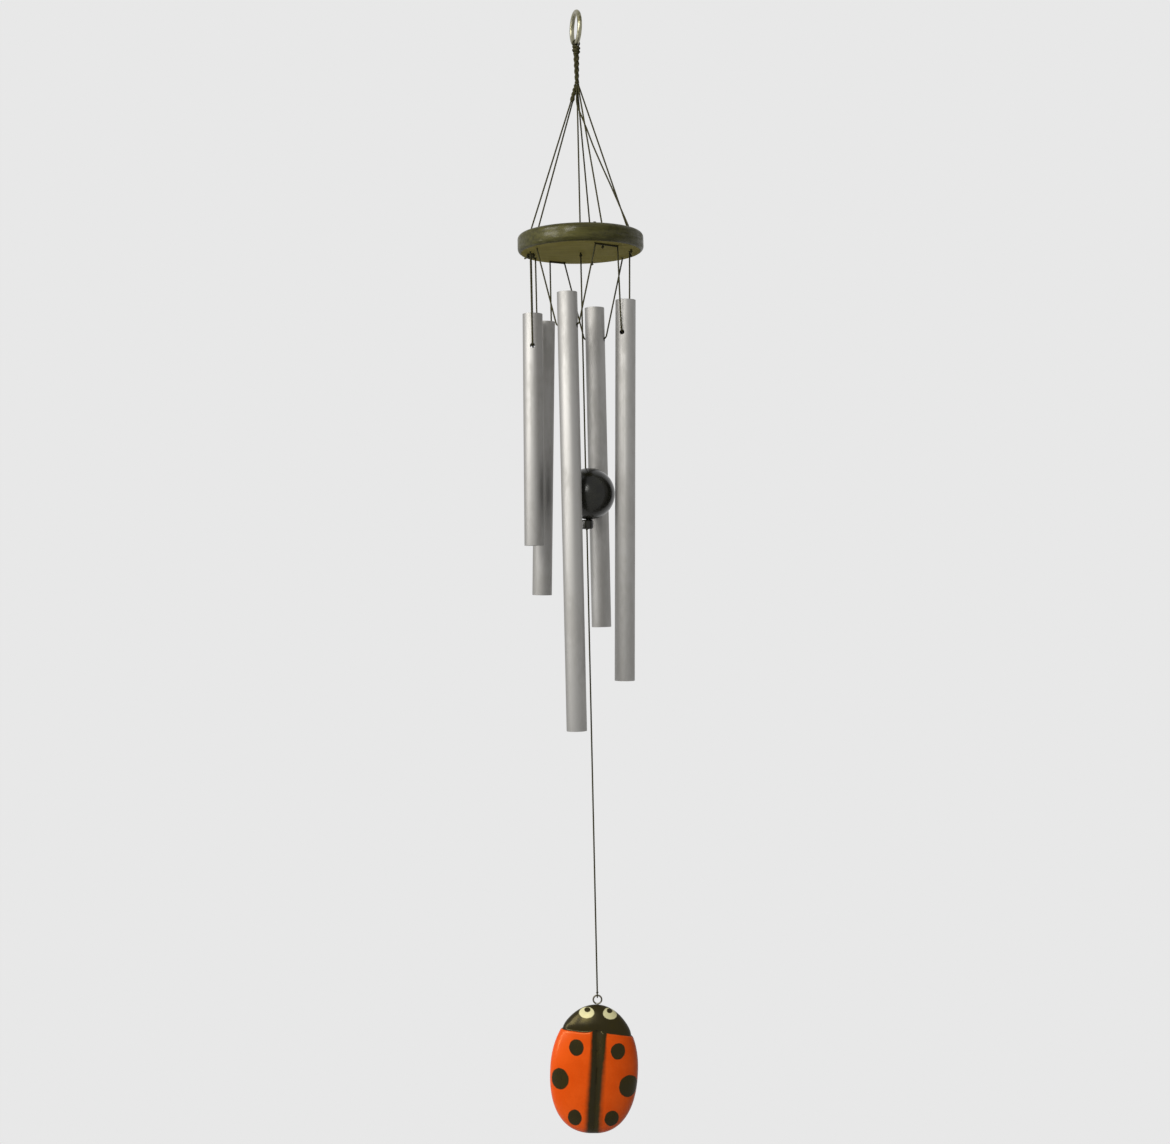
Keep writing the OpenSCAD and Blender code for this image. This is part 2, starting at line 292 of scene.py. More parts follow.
class Effects:
    """Shared surface effects, each a node group that is built once."""

    @staticmethod
    def shared(name: str, inputs: dict[str, str], output: str, wire: Wire) -> bpy.types.NodeTree:
        """Makes a group at its first use.

        Args:
            name: The group's name.
            inputs: Socket type of each input by name.
            output: Name of its one output, a number.
            wire: Takes the group's wiring and its inputs, and returns the result.

        Returns:
            The group's tree.
        """
        found = bpy.data.node_groups.get(name)
        if found:
            return found
        tree = bpy.data.node_groups.new(name, "ShaderNodeTree")
        for label, kind in inputs.items():
            tree.interface.new_socket(name=label, in_out="INPUT", socket_type=kind)
        tree.interface.new_socket(name=output, in_out="OUTPUT", socket_type=NUMBER)
        wiring = Wiring(tree)
        result = wire(wiring, wiring.node("NodeGroupInput").outputs)
        wiring.fill(wiring.node("NodeGroupOutput"), {0: result})
        return tree

    @classmethod
    def handling(cls) -> bpy.types.NodeTree:
        """Makes faint smudges from handling and weather.

        Returns:
            The group's tree.
        """
        def wire(wiring: Wiring, given: Sockets) -> Socket:
            """Wires broad smudges with fine ones in them.

            Args:
                wiring: The group's wiring.
                given: Its inputs.

            Returns:
                The smudges' mask.
            """
            broad = wiring.noise(given["Place"], given["Scale"], detail=4.0, rough=0.6)
            fine = wiring.noise(given["Place"], wiring.times(given["Scale"], 6.0))
            return wiring.ease(wiring.both(broad, fine, 0.3), 0.38, 0.66)

        return cls.shared("handling_smudges", {"Place": VECTOR, "Scale": NUMBER}, "Mask", wire)

    @classmethod
    def grain(cls) -> bpy.types.NodeTree:
        """Makes long fine lines: drawn metal, wood grain and turning marks.

        Returns:
            The group's tree.
        """
        def wire(wiring: Wiring, given: Sockets) -> Socket:
            """Wires a noise that is drawn out along its lines.

            Args:
                wiring: The group's wiring.
                given: Its inputs.

            Returns:
                The lines, from 0 to 1.
            """
            spread = wiring.node("ShaderNodeVectorMath", operation="MULTIPLY")
            wiring.fill(spread, {0: given["Place"], 1: given["Stretch"]})
            return wiring.noise(spread.outputs[0], 1.0, detail=4.0, rough=0.6)

        return cls.shared("long_lines", {"Place": VECTOR, "Stretch": VECTOR}, "Lines", wire)

    @classmethod
    def oval(cls) -> bpy.types.NodeTree:
        """Makes a hand-painted oval, in millimetres.

        Returns:
            The group's tree.
        """
        ways = ("across", "down", "depth")
        names = [form % way for form in ("%s", "middle %s", "half %s") for way in ways] + ["wobble", "soft"]

        def wire(wiring: Wiring, given: Sockets) -> Socket:
            """Wires the distance from the oval's middle to a soft edge.

            Args:
                wiring: The group's wiring.
                given: Its inputs.

            Returns:
                The mask, 1 inside the oval and 0 outside.
            """
            away = 0.0
            for way in ways:
                off = wiring.minus(given[way.capitalize()], given["Middle " + way])
                reach = wiring.math("DIVIDE", off, given["Half " + way])
                away = wiring.plus(wiring.math("POWER", reach, 2.0), away)
            away = wiring.plus(wiring.math("SQRT", away), given["Wobble"])
            start, end = wiring.minus(1.0, given["Soft"]), wiring.plus(1.0, given["Soft"])
            return wiring.ease(away, start, end, low=1.0, high=0.0)

        return cls.shared("painted_oval", {name.capitalize(): NUMBER for name in names}, "Mask", wire)


@dataclass(frozen=True)
class Finish:
    """A finish, dressed once and shared by the pieces that have it."""

    name: str
    slot: Optional[Slot] = None

    def material(self) -> bpy.types.Material:
        """Makes the finish's material at its first use.

        Returns:
            The material.
        """
        found = bpy.data.materials.get(self.name)
        if found:
            return found
        made = bpy.data.materials.new(self.name)
        made.use_nodes = True
        wiring = Wiring(made.node_tree)
        wiring.fill(made.node_tree.nodes["Principled BSDF"], self.inputs(wiring))
        return made

    def inputs(self, wiring: Wiring) -> dict[str, Value]:
        """Wires the finish in its own way and returns what goes into its shader's inputs."""
        raise NotImplementedError


@dataclass(frozen=True)
class DrawnAluminium(Finish):
    """Satin tube with fine lines along its length, dulled in places."""

    pale: tuple = (0.322, 0.316, 0.305)
    dull: tuple = (0.280, 0.273, 0.258)
    gloss: float = 0.57
    matt: float = 0.66
    line_stretch: tuple = (3400.0, 3400.0, 12.0)
    patch_stretch: tuple = (1.0, 1.0, 0.35)
    patch_scale: float = 70.0
    patch_share: float = 0.6

    def inputs(self, wiring: Wiring) -> dict[str, Value]:
        """Wires lines, dull patches and a soft bump.

        Args:
            wiring: The material's wiring.

        Returns:
            What goes into the shader's inputs.
        """
        place = wiring.place()
        lines = wiring.group(Effects.grain(), place=place, stretch=self.line_stretch)
        drawn_out = wiring.scaled(place, self.patch_stretch)
        patch = wiring.group(Effects.handling(), place=drawn_out, scale=self.patch_scale)
        worn = wiring.both(lines, patch, self.patch_share)
        return {
            "Base Color": wiring.mix(worn, self.pale, self.dull),
            "Roughness": wiring.ease(worn, 0.2, 0.85, self.gloss, self.matt),
            "Metallic": 1.0,
            "Normal": wiring.bump(lines, strength=0.12, depth=0.02),
        }


@dataclass(frozen=True)
class WaxedCord(Finish):
    """Dark waxed cord with worn, paler fibres."""

    dark: tuple = (0.016, 0.0148, 0.005)
    worn: tuple = (0.040, 0.0365, 0.014)
    waxed: float = 0.5
    dry: float = 0.75
    fibre_scale: float = 5200.0
    patch_scale: float = 420.0

    def inputs(self, wiring: Wiring) -> dict[str, Value]:
        """Wires fibres, wax and worn patches.

        Args:
            wiring: The material's wiring.

        Returns:
            What goes into the shader's inputs.
        """
        place = wiring.place()
        fibre = wiring.noise(place, self.fibre_scale, detail=2.0)
        patch = wiring.group(Effects.handling(), place=place, scale=self.patch_scale)
        share = wiring.math("MULTIPLY", wiring.plus(fibre, patch), 0.5, clamp=True)
        return {
            "Base Color": wiring.mix(share, self.dark, self.worn),
            "Roughness": wiring.ease(share, 0.2, 0.8, self.waxed, self.dry),
            "Specular IOR Level": 0.2,
            "Specular Tint": (1.0, 0.94, 0.6),
            "Normal": wiring.bump(fibre, strength=0.4, depth=0.04),
        }


@dataclass(frozen=True)
class StainedWood(Finish):
    """Dark stained wood under gloss lacquer, thinner and paler on the underside."""

    rim: tuple = (0.050, 0.047, 0.013)
    deep: tuple = (0.021, 0.020, 0.006)
    under: tuple = (0.345, 0.298, 0.083)
    under_deep: tuple = (0.245, 0.205, 0.057)
    underside: float = -134.85
    bare_r: float = 35.6
    bare_edge: float = 0.6
    stain_from: float = 0.1
    stain_to: float = 0.5
    gloss: float = 0.4
    scuffed: float = 0.54
    bare_rough: float = 0.4
    lacquer: float = 0.26
    grain_stretch: tuple = (38.0, 520.0, 520.0)
    pore_stretch: tuple = (160.0, 3200.0, 3200.0)
    streak_stretch: tuple = (60.0, 60.0, 420.0)
    pore_share: float = 0.3
    scuff_scale: float = 95.0

    def inputs(self, wiring: Wiring) -> dict[str, Value]:
        """Wires stain, grain, scuffs and lacquer.

        Args:
            wiring: The material's wiring.

        Returns:
            What goes into the shader's inputs.
        """
        place = wiring.place()
        grain = wiring.group(Effects.grain(), place=place, stretch=self.grain_stretch)
        pores = wiring.group(Effects.grain(), place=place, stretch=self.pore_stretch)
        share = wiring.ease(wiring.both(grain, pores, self.pore_share), 0.36, 0.64)
        dark = wiring.mix(share, self.rim, self.deep)
        pale = wiring.mix(share, self.under, self.under_deep)
        below = self.below(wiring, place)
        scuff = wiring.group(Effects.handling(), place=place, scale=self.scuff_scale)
        rough = wiring.ease(scuff, 0.1, 0.9, self.gloss, self.scuffed)
        streak = wiring.group(Effects.grain(), place=place, stretch=self.streak_stretch)
        coat = wiring.ease(streak, 0.4, 0.62, high=self.lacquer)
        return {
            "Base Color": wiring.mix(below, dark, pale),
            "Roughness": wiring.plus(rough, wiring.times(below, self.bare_rough)),
            "Coat Weight": wiring.math("SUBTRACT", coat, below, clamp=True),
            "Coat Roughness": 0.16,
            "Specular IOR Level": 0.2,
            "Specular Tint": (1.0, 0.94, 0.5),
            "Normal": wiring.bump(share, strength=0.2, depth=0.08),
        }

    def below(self, wiring: Wiring, place: Socket) -> Socket:
        """Finds the bare underside.

        Args:
            wiring: The material's wiring.
            place: Object coordinates.

        Returns:
            The underside's mask.
        """
        inner, outer = (self.bare_r - self.bare_edge) * MM, (self.bare_r + self.bare_edge) * MM
        inside = wiring.ease(wiring.off_axis(place), inner, outer, low=1.0, high=0.0)
        start, end = (self.underside + self.stain_from) * MM, (self.underside + self.stain_to) * MM
        low = wiring.ease(wiring.apart(place)[2], start, end, low=1.0, high=0.0)
        return wiring.times(inside, low)


@dataclass(frozen=True)
class BlackLacquer(Finish):
    """Black gloss lacquer on turned wood."""

    black: tuple = (0.006, 0.006, 0.004)
    dust: tuple = (0.016, 0.016, 0.010)
    gloss: float = 0.16
    hazy: float = 0.3
    haze_scale: float = 130.0
    turned_stretch: tuple = (30.0, 30.0, 900.0)
    peel_scale: float = 900.0

    def inputs(self, wiring: Wiring) -> dict[str, Value]:
        """Wires a thin haze, orange peel and a clear coat.

        Args:
            wiring: The material's wiring.

        Returns:
            What goes into the shader's inputs.
        """
        place = wiring.place()
        haze = wiring.group(Effects.handling(), place=place, scale=self.haze_scale)
        turned_marks = wiring.group(Effects.grain(), place=place, stretch=self.turned_stretch)
        peel = wiring.plus(wiring.times(turned_marks, 0.5), wiring.noise(place, self.peel_scale, detail=2.0))
        return {
            "Base Color": wiring.mix(haze, self.black, self.dust),
            "Roughness": wiring.ease(haze, 0.0, 1.0, self.gloss, self.hazy),
            "Specular IOR Level": 0.12,
            "Coat Weight": 0.42,
            "Coat Roughness": 0.25,
            "Normal": wiring.bump(peel, strength=0.12, depth=0.05),
        }


@dataclass(frozen=True)
class MetalWire(Finish):
    """Plated or bare wire with tarnish."""

    bright: tuple = (0.30, 0.285, 0.20)
    tarnish: tuple = (0.10, 0.093, 0.045)
    smooth: float = 0.34
    rough: float = 0.5
    tarnish_from: float = 0.3
    scale: float = 90.0
    scratch_scale: float = 3800.0
    scratch_share: float = 0.12

    def inputs(self, wiring: Wiring) -> dict[str, Value]:
        """Wires plating, tarnish and fine scratches.

        Args:
            wiring: The material's wiring.

        Returns:
            What goes into the shader's inputs.
        """
        place = wiring.place()
        stain = wiring.group(Effects.handling(), place=place, scale=self.scale)
        share = wiring.ease(stain, self.tarnish_from, 1.0)
        scratch = wiring.noise(place, self.scratch_scale, detail=2.0)
        worn = wiring.plus(share, wiring.times(wiring.minus(scratch, 0.5), self.scratch_share))
        return {
            "Base Color": wiring.mix(share, self.bright, self.tarnish),
            "Roughness": wiring.ease(worn, 0.0, 1.0, self.smooth, self.rough),
            "Metallic": 1.0,
            "Normal": wiring.bump(scratch, strength=0.03, depth=0.01),
        }


@dataclass(frozen=True)
class PaleFloor(Finish):
    """A plain pale floor that fades out before its edge, with its radius in metres."""

    radius: float = 1.1
    pale: tuple = (0.84, 0.84, 0.84)
    dull: tuple = (0.80, 0.80, 0.80)

    def inputs(self, wiring: Wiring) -> dict[str, Value]:
        """Wires a faint unevenness and the fade.

        Args:
            wiring: The material's wiring.

        Returns:
            What goes into the shader's inputs.
        """
        place = wiring.place()
        tone = wiring.noise(place, 3.0, detail=4.0)
        start, end = 0.2 * self.radius, 0.99 * self.radius
        return {
            "Base Color": wiring.mix(tone, self.dull, self.pale),
            "Roughness": 0.8,
            "Alpha": wiring.ease(wiring.off_axis(place), start, end, low=0.7, high=0.0),
        }


@dataclass(frozen=True)
class PaintSpot:
    """A painted oval on the ladybird's face, and its like on the back.

    Across is signed, from the middle; down is from the top; depth is from the middle to the surface.
    """

    middle_across: float
    middle_down: float
    middle_depth: float
    half_across: float
    half_down: float
    half_depth: float = 9.0


@dataclass(frozen=True)
class HeadLine:
    """The carved line behind the head: bowed at the groove and cut a little lower at the right."""

    start: float = 13.4
    bow: float = 1.3
    spread: float = 4.4
    middle: float = 0.6
    skew: float = 0.0062
    skew_from: float = 1.5

    def at(self, across: float) -> float:
        """Finds the line.

        Args:
            across: Signed distance across.

        Returns:
            The line's distance below the top.
        """
        reach = (across - self.middle) / self.spread
        right = max(0.0, across - self.skew_from)
        return self.start + self.bow * (1 - math.exp(-reach * reach)) + self.skew * right ** 2

    def wired(self, wiring: Wiring, across: Socket) -> Socket:
        """Wires the same line for paint.

        Args:
            wiring: The material's wiring.
            across: Signed distance across.

        Returns:
            The line's distance below the top.
        """
        reach = wiring.math("DIVIDE", wiring.minus(across, self.middle), self.spread)
        fall = wiring.math("EXPONENT", wiring.times(wiring.times(reach, reach), -1.0))
        bowed = wiring.minus(self.start + self.bow, wiring.times(fall, self.bow))
        right = wiring.math("MAXIMUM", wiring.minus(across, self.skew_from), 0.0)
        return wiring.plus(bowed, wiring.times(wiring.times(right, right), self.skew))


@dataclass(frozen=True)
class Groove:
    """The groove between the wing cases, which drifts off the middle as a hand-cut line does."""

    head: float = 0.4
    tail: float = 1.6
    drift_from: float = 12.0
    drift_to: float = 40.0
    deep: float = 2.3
    half: float = 3.8
    share: float = 0.25
    slope: float = 1.1

    def at(self, down: float) -> float:
        """Returns the groove's signed distance across, at a distance below the top."""
        share = max(0.0, min(1.0, (down - self.drift_from) / (self.drift_to - self.drift_from)))
        return self.head + (self.tail - self.head) * share * share * (3 - 2 * share)


@dataclass(frozen=True)
class LadybirdPaint(Finish):
    """Brush-painted and varnished wood: red wing cases, black head, stripe and spots, pale eyes."""

    into_local: Matrix = field(default_factory=lambda: Matrix.Identity(4))
    top: float = LADYBIRD_TOP
    line: HeadLine = HeadLine()
    red: tuple = (0.73, 0.085, 0.002)
    red_deep: tuple = (0.62, 0.060, 0.001)
    black: tuple = (0.0065, 0.0048, 0.0006)
    black_worn: tuple = (0.021, 0.0155, 0.003)
    eye_white: tuple = (0.66, 0.62, 0.35)
    stripe_half: float = 4.4
    stripe_head: float = 1.95
    stripe_tail: float = 0.9
    head_lap: float = 0.5
    head_soft: float = 0.22
    wobble_scale: float = 0.3
    spot_wobble: float = 0.16
    brush_stretch: tuple = (1.3, 1.3, 0.16)
    patch_scale: float = 0.07
    patch_share: float = 0.6
    spots: tuple = (
        PaintSpot(-11.3, 24.0, 8.2, 4.35, 4.85),
        PaintSpot(13.55, 25.2, 7.9, 4.35, 4.75),
        PaintSpot(-20.25, 43.6, 6.4, 5.45, 6.35),
        PaintSpot(21.0, 46.1, 5.9, 6.05, 6.75),
        PaintSpot(-10.3, 66.2, 6.7, 4.15, 5.25),
        PaintSpot(11.75, 65.75, 6.5, 4.3, 5.1),
    )
    eyes: tuple = (PaintSpot(-6.25, 4.0, 3.8, 4.6, 3.15, 4.8), PaintSpot(8.0, 4.05, 3.35, 4.4, 3.3, 4.4))
    pupils: tuple = (PaintSpot(-5.8, 2.55, 2.8, 1.95, 1.35, 2.4), PaintSpot(7.6, 2.7, 2.3, 1.75, 1.35, 2.4))

    def inputs(self, wiring: Wiring) -> dict[str, Value]:
        """Wires the painted pattern, brush marks and varnish.

        Args:
            wiring: The material's wiring.

        Returns:
            What goes into the shader's inputs.
        """
        local = wiring.fill(wiring.node("ShaderNodeMapping"), {
            "Vector": wiring.place(),
            "Location": self.into_local.to_translation() / MM,
            "Rotation": self.into_local.to_3x3().to_euler("XYZ"),
            "Scale": (1 / MM,) * 3,
        }).outputs[0]
        across, depth, height = wiring.apart(local)
        at = {
            "across": across,
            "down": wiring.minus(self.top, height),
            "depth": wiring.math("ABSOLUTE", depth),
        }
        wobble = wiring.minus(wiring.noise(local, self.wobble_scale, detail=2.0), 0.5)
        marks = [
            self.ovals(wiring, self.spots, at, wobble, soft=0.05),
            self.stripe(wiring, at, wobble),
            self.head(wiring, at, wobble),
        ]
        brush = wiring.noise(wiring.scaled(local, self.brush_stretch), 1.0, detail=4.0)
        patch = wiring.group(Effects.handling(), place=local, scale=self.patch_scale)
        tone = wiring.both(brush, patch, self.patch_share)
        black = wiring.mix(tone, self.black, self.black_worn)
        colour = wiring.mix(wiring.most(marks), wiring.mix(tone, self.red, self.red_deep), black)
        colour = wiring.mix(self.ovals(wiring, self.eyes, at, wobble, soft=0.07), colour, self.eye_white)
        colour = wiring.mix(self.ovals(wiring, self.pupils, at, wobble, soft=0.12), colour, black)
        return {
            "Base Color": colour,
            "Roughness": wiring.ease(tone, 0.2, 0.8, low=0.2, high=0.3),
            "Coat Weight": wiring.ease(patch, 0.0, 1.0, low=0.2, high=0.12),
            "Coat Roughness": 0.34,
            "Specular IOR Level": 0.2,
            "Specular Tint": (1.0, 0.8, 0.22),
            "Normal": wiring.bump(brush, strength=0.1, depth=0.1),
        }

    def ovals(
        self, wiring: Wiring, spots: Sequence[PaintSpot], at: dict[str, Socket], wobble: Socket, soft: float
    ) -> Socket:
        """Paints ovals.

        Args:
            wiring: The material's wiring.
            spots: Each oval's place and size.
            at: Distances across, down and in depth.
            wobble: Noise that makes the edges hand-drawn.
            soft: Half width of an edge, as a share of the oval.

        Returns:
            The mask of all the ovals.
        """
        uneven = wiring.times(wobble, self.spot_wobble)
        return wiring.most([
            wiring.group(Effects.oval(), **at, **asdict(spot), wobble=uneven, soft=soft) for spot in spots
        ])

    def stripe(self, wiring: Wiring, at: dict[str, Socket], wobble: Socket) -> Socket:
        """Paints the stripe along the groove, which is softer towards the tail.

        Args:
            wiring: The material's wiring.
            at: Distances across, down and in depth.
            wobble: Noise that makes the edges hand-drawn.

        Returns:
            The stripe's mask.
        """
        middle = wiring.ease(at["down"], 16.0, 64.0, self.stripe_head, self.stripe_tail)
        off = wiring.math("ABSOLUTE", wiring.minus(at["across"], middle))
        soft = wiring.ease(at["down"], 14.0, 40.0, low=0.5, high=2.0)
        past = wiring.minus(off, wiring.plus(wobble, self.stripe_half))
        return wiring.ease(wiring.math("DIVIDE", past, soft), -1.0, 1.0, low=1.0, high=0.0)

    def head(self, wiring: Wiring, at: dict[str, Socket], wobble: Socket) -> Socket:
        """Paints the head down to its line.

        Args:
            wiring: The material's wiring.
            at: Distances across, down and in depth.
            wobble: Noise that makes the edge hand-drawn.

        Returns:
            The head's mask.
        """
        past = wiring.minus(wiring.minus(at["down"], self.head_lap), self.line.wired(wiring, at["across"]))
        past = wiring.plus(past, wiring.times(wobble, 0.5))
        return wiring.ease(past, -self.head_soft, self.head_soft, low=1.0, high=0.0)


def lifted(height: float) -> Matrix:
    """Returns a place on the Z axis."""
    return Matrix.Translation((0, 0, height))


def turned(degrees: float, axis: str) -> Matrix:
    """Returns a turn about an axis."""
    return Matrix.Rotation(math.radians(degrees), 4, axis)


def polar(radius: float, angle: float, height: float = 0.0) -> Vector:
    """Returns a point by its radius, its angle in radians and its height."""
    return Vector((radius * math.cos(angle), radius * math.sin(angle), height))


def plumb(top: float, bottom: float, x: float = 0.0, y: float = 0.0) -> list[Vector]:
    """Returns the two ends of an upright line."""
    return [Vector((x, y, top)), Vector((x, y, bottom))]


def shares(count: int) -> list[float]:
    """Returns even steps from 0 to 1, both kept."""
    return [i / count for i in range(count + 1)]


def angles(count: int) -> list[float]:
    """Returns even steps of a full turn, in radians."""
    return [math.tau * i / count for i in range(count)]


def spans(line: Sequence[Vector]) -> list[float]:
    """Returns the lengths between a line's points."""
    return [(b - a).length for a, b in zip(line, line[1:])]


def even_steps(line: Sequence[Vector], step: float) -> list[Vector]:
    """Places points along a line at even steps.

    Args:
        line: The line's corners.
        step: About how far apart the points are.

    Returns:
        The points, with both ends kept.
    """
    lengths = spans(line)
    total = sum(lengths)
    count = max(3, round(total / step))
    points, index, passed = [], 0, 0.0
    for i in range(count + 1):
        along = total * i / count
        while index < len(lengths) - 1 and passed + lengths[index] < along:
            passed += lengths[index]
            index += 1
        share = min(1.0, (along - passed) / max(lengths[index], 1e-9))
        points.append(line[index].lerp(line[index + 1], share))
    return points


def rounded(route: Sequence[Point], radii: Sequence[float]) -> list[Vector]:
    """Rounds the corners of a route to arcs.

    Args:
        route: The route's points.
        radii: Radius at each corner between its ends.

    Returns:
        The rounded line's points.
    """
    points = [Vector(p) for p in route]
    line = [points[0]]
    for before, corner, after, radius in zip(points, points[1:], points[2:], radii):
        into, out = (corner - before).normalized(), (after - corner).normalized()
        turn = into.angle(out)
        if turn < 1e-3:
            continue
        room = ARC_ROOM * min((corner - before).length, (after - corner).length)
        reach = min(radius * math.tan(turn / 2), room)
        bend = reach / math.tan(turn / 2)
        side = (out - into * into.dot(out)).normalized()
        middle = corner - into * reach + side * bend
        for share in shares(max(ARC_LEAST, round(turn * ARC_STEPS))):
            a = turn * share
            line.append(middle - side * (bend * math.cos(a)) + into * (bend * math.sin(a)))
    return line + [points[-1]]


def add_piece(name: str, data: bpy.types.ID, finish: Finish, body: str, node: str) -> Piece:
    """Puts a finished piece into the scene.

    Args:
        name: The piece's name.
        data: Its mesh or curve, already in place.
        finish: Its finish.
        body: The body that it rides on.
        node: The frame's node that it stands for.

    Returns:
        The piece.
    """
    piece = bpy.data.objects.new(name, data)
    bpy.context.scene.collection.objects.link(piece)
    data.materials.append(finish.material())
    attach(piece, body)
    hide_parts(node)
    LOG.info("%s rides on %s", name, body)
    return piece


def smooth(mesh: bpy.types.Mesh, sharp: float) -> None:
    """Shades a mesh smooth, apart from edges that turn more than an angle in degrees."""
    mesh.shade_smooth()
    mesh.set_sharp_from_angle(angle=math.radians(sharp))


def write_mesh(name: str, form: Form, place: Matrix, sharp: float = SHARP_EDGE) -> bpy.types.Mesh:
    """Writes a form drawn in millimetres to a mesh in metres.

    Args:
        name: The mesh's name.
        form: The form, which is freed.
        place: Where it goes, in millimetres.
        sharp: Angle in degrees past which an edge is sharp.

    Returns:
        The mesh.
    """
    bmesh.ops.transform(form, matrix=Matrix.Scale(MM, 4) @ place, verts=form.verts)
    mesh = bpy.data.meshes.new(name)
    form.to_mesh(mesh)
    form.free()
    smooth(mesh, sharp)
    return mesh


def lathe(profile: Sequence[tuple[float, float]], segments: int) -> Form:
    """Turns a closed profile about Z.

    Args:
        profile: Radius and height of each corner.
        segments: Steps of the full turn.

    Returns:
        The turned form.
    """
    form = bmesh.new()
    verts = [form.verts.new((radius, 0.0, height)) for radius, height in profile]
    edges = [form.edges.new(pair) for pair in zip(verts, verts[1:] + verts[:1])]
    spin_closed(form, verts + edges, segments)
    return form


def spin_closed(form: Form, outline: list, segments: int) -> None:
    """Turns an outline fully about Z, with its seam merged and its faces outwards.

    Args:
        form: The form that holds it.
        outline: Vertices and edges to turn.
        segments: Steps of the full turn.
    """
    bmesh.ops.spin(
        form, geom=outline, cent=(0, 0, 0), axis=(0, 0, 1), dvec=(0, 0, 0),
        angle=math.tau, steps=segments, use_merge=True,
    )
    bmesh.ops.remove_doubles(form, verts=form.verts, dist=1e-4)
    bmesh.ops.recalc_face_normals(form, faces=form.faces)


def round_rims(form: Form, radius: float, segments: int) -> None:
    """Rounds the edges where a level end meets a wall.

    Args:
        form: The form.
        radius: The rounding's radius.
        segments: Steps of the rounding.
    """
    rims = [e for e in form.edges if len(e.link_faces) == 2 and e.calc_face_angle(0.0) > 1.2]
    bmesh.ops.bevel(
        form, geom=rims, offset=radius, offset_type="OFFSET", affect="EDGES",
        segments=segments, profile=0.5, material=-1,
    )


def add_peg(form: Form, diameter: float, height: float, segments: int, place: Matrix) -> None:
    """Adds a round peg to a form.

    Args:
        form: The form.
        diameter: The peg's diameter.
        height: Its height, about its place.
        segments: Steps round it.
        place: Its place, with its axis along Z.
    """
    bmesh.ops.create_cone(
        form, cap_ends=True, cap_tris=False, segments=segments,
        radius1=diameter / 2, radius2=diameter / 2, depth=height, matrix=place,
    )


def puck(diameter: float, height: float, radius: float, segments: int, steps: int) -> Form:
    """Makes a round block with rounded edges.

    Args:
        diameter: Its diameter.
        height: Its height, about z = 0.
        radius: Radius of its edges.
        segments: Steps round it.
        steps: Steps of the rounding.

    Returns:
        The form.
    """
    form = bmesh.new()
    add_peg(form, diameter, height, segments, Matrix.Identity(4))
    round_rims(form, radius, steps)
    return form


def drill(piece: Piece, holes: Sequence[Matrix], diameter: float, depth: float) -> None:
    """Drills round holes in a piece.

    Args:
        piece: The piece.
        holes: Place of each hole, with its axis along Z, in millimetres.
        diameter: The holes' diameter.
        depth: Their length, about their place.
    """
    form = bmesh.new()
    for hole in holes:
        add_peg(form, diameter, depth, DRILL_SIDES, hole)
    bit = bpy.data.objects.new("drill_bit", write_mesh("drill_bit", form, Matrix.Identity(4)))
    bpy.context.scene.collection.objects.link(bit)
    cut = piece.modifiers.new("drill", "BOOLEAN")
    cut.operation, cut.solver, cut.object = "DIFFERENCE", "EXACT", bit
    bpy.context.view_layer.update()
    drilled = bpy.data.meshes.new_from_object(piece.evaluated_get(bpy.context.evaluated_depsgraph_get()))
    plain, bit_mesh = piece.data, bit.data
    piece.modifiers.clear()
    drilled.name = plain.name + "_drilled"
    piece.data = drilled
    bpy.data.objects.remove(bit)
    bpy.data.meshes.remove(bit_mesh)
    bpy.data.meshes.remove(plain)
    smooth(drilled, SHARP_EDGE)


def add_spline(
    data: bpy.types.Curve, points: Sequence[Vector], closed: bool = False
) -> bpy.types.SplinePoints:
    """Adds a spline of straight steps to a curve.

    Args:
        data: The curve.
        points: Its points, in millimetres.
        closed: Whether it closes.

    Returns:
        The spline's own points.
    """
    spline = data.splines.new("POLY")
    spline.points.add(len(points) - 1)
    spline.use_cyclic_u = closed
    for made, point in zip(spline.points, points):
        made.co = (*(point * MM), 1)
    return spline.points


@dataclass
class Run:
    """One run of cord: its points and whether it closes.

    Girth is its thickness as a share of the cord's, and taper the far end's as a share of that.
    """

    points: Sequence[Vector]
    closed: bool = False
    girth: float = 1.0
    taper: float = 1.0


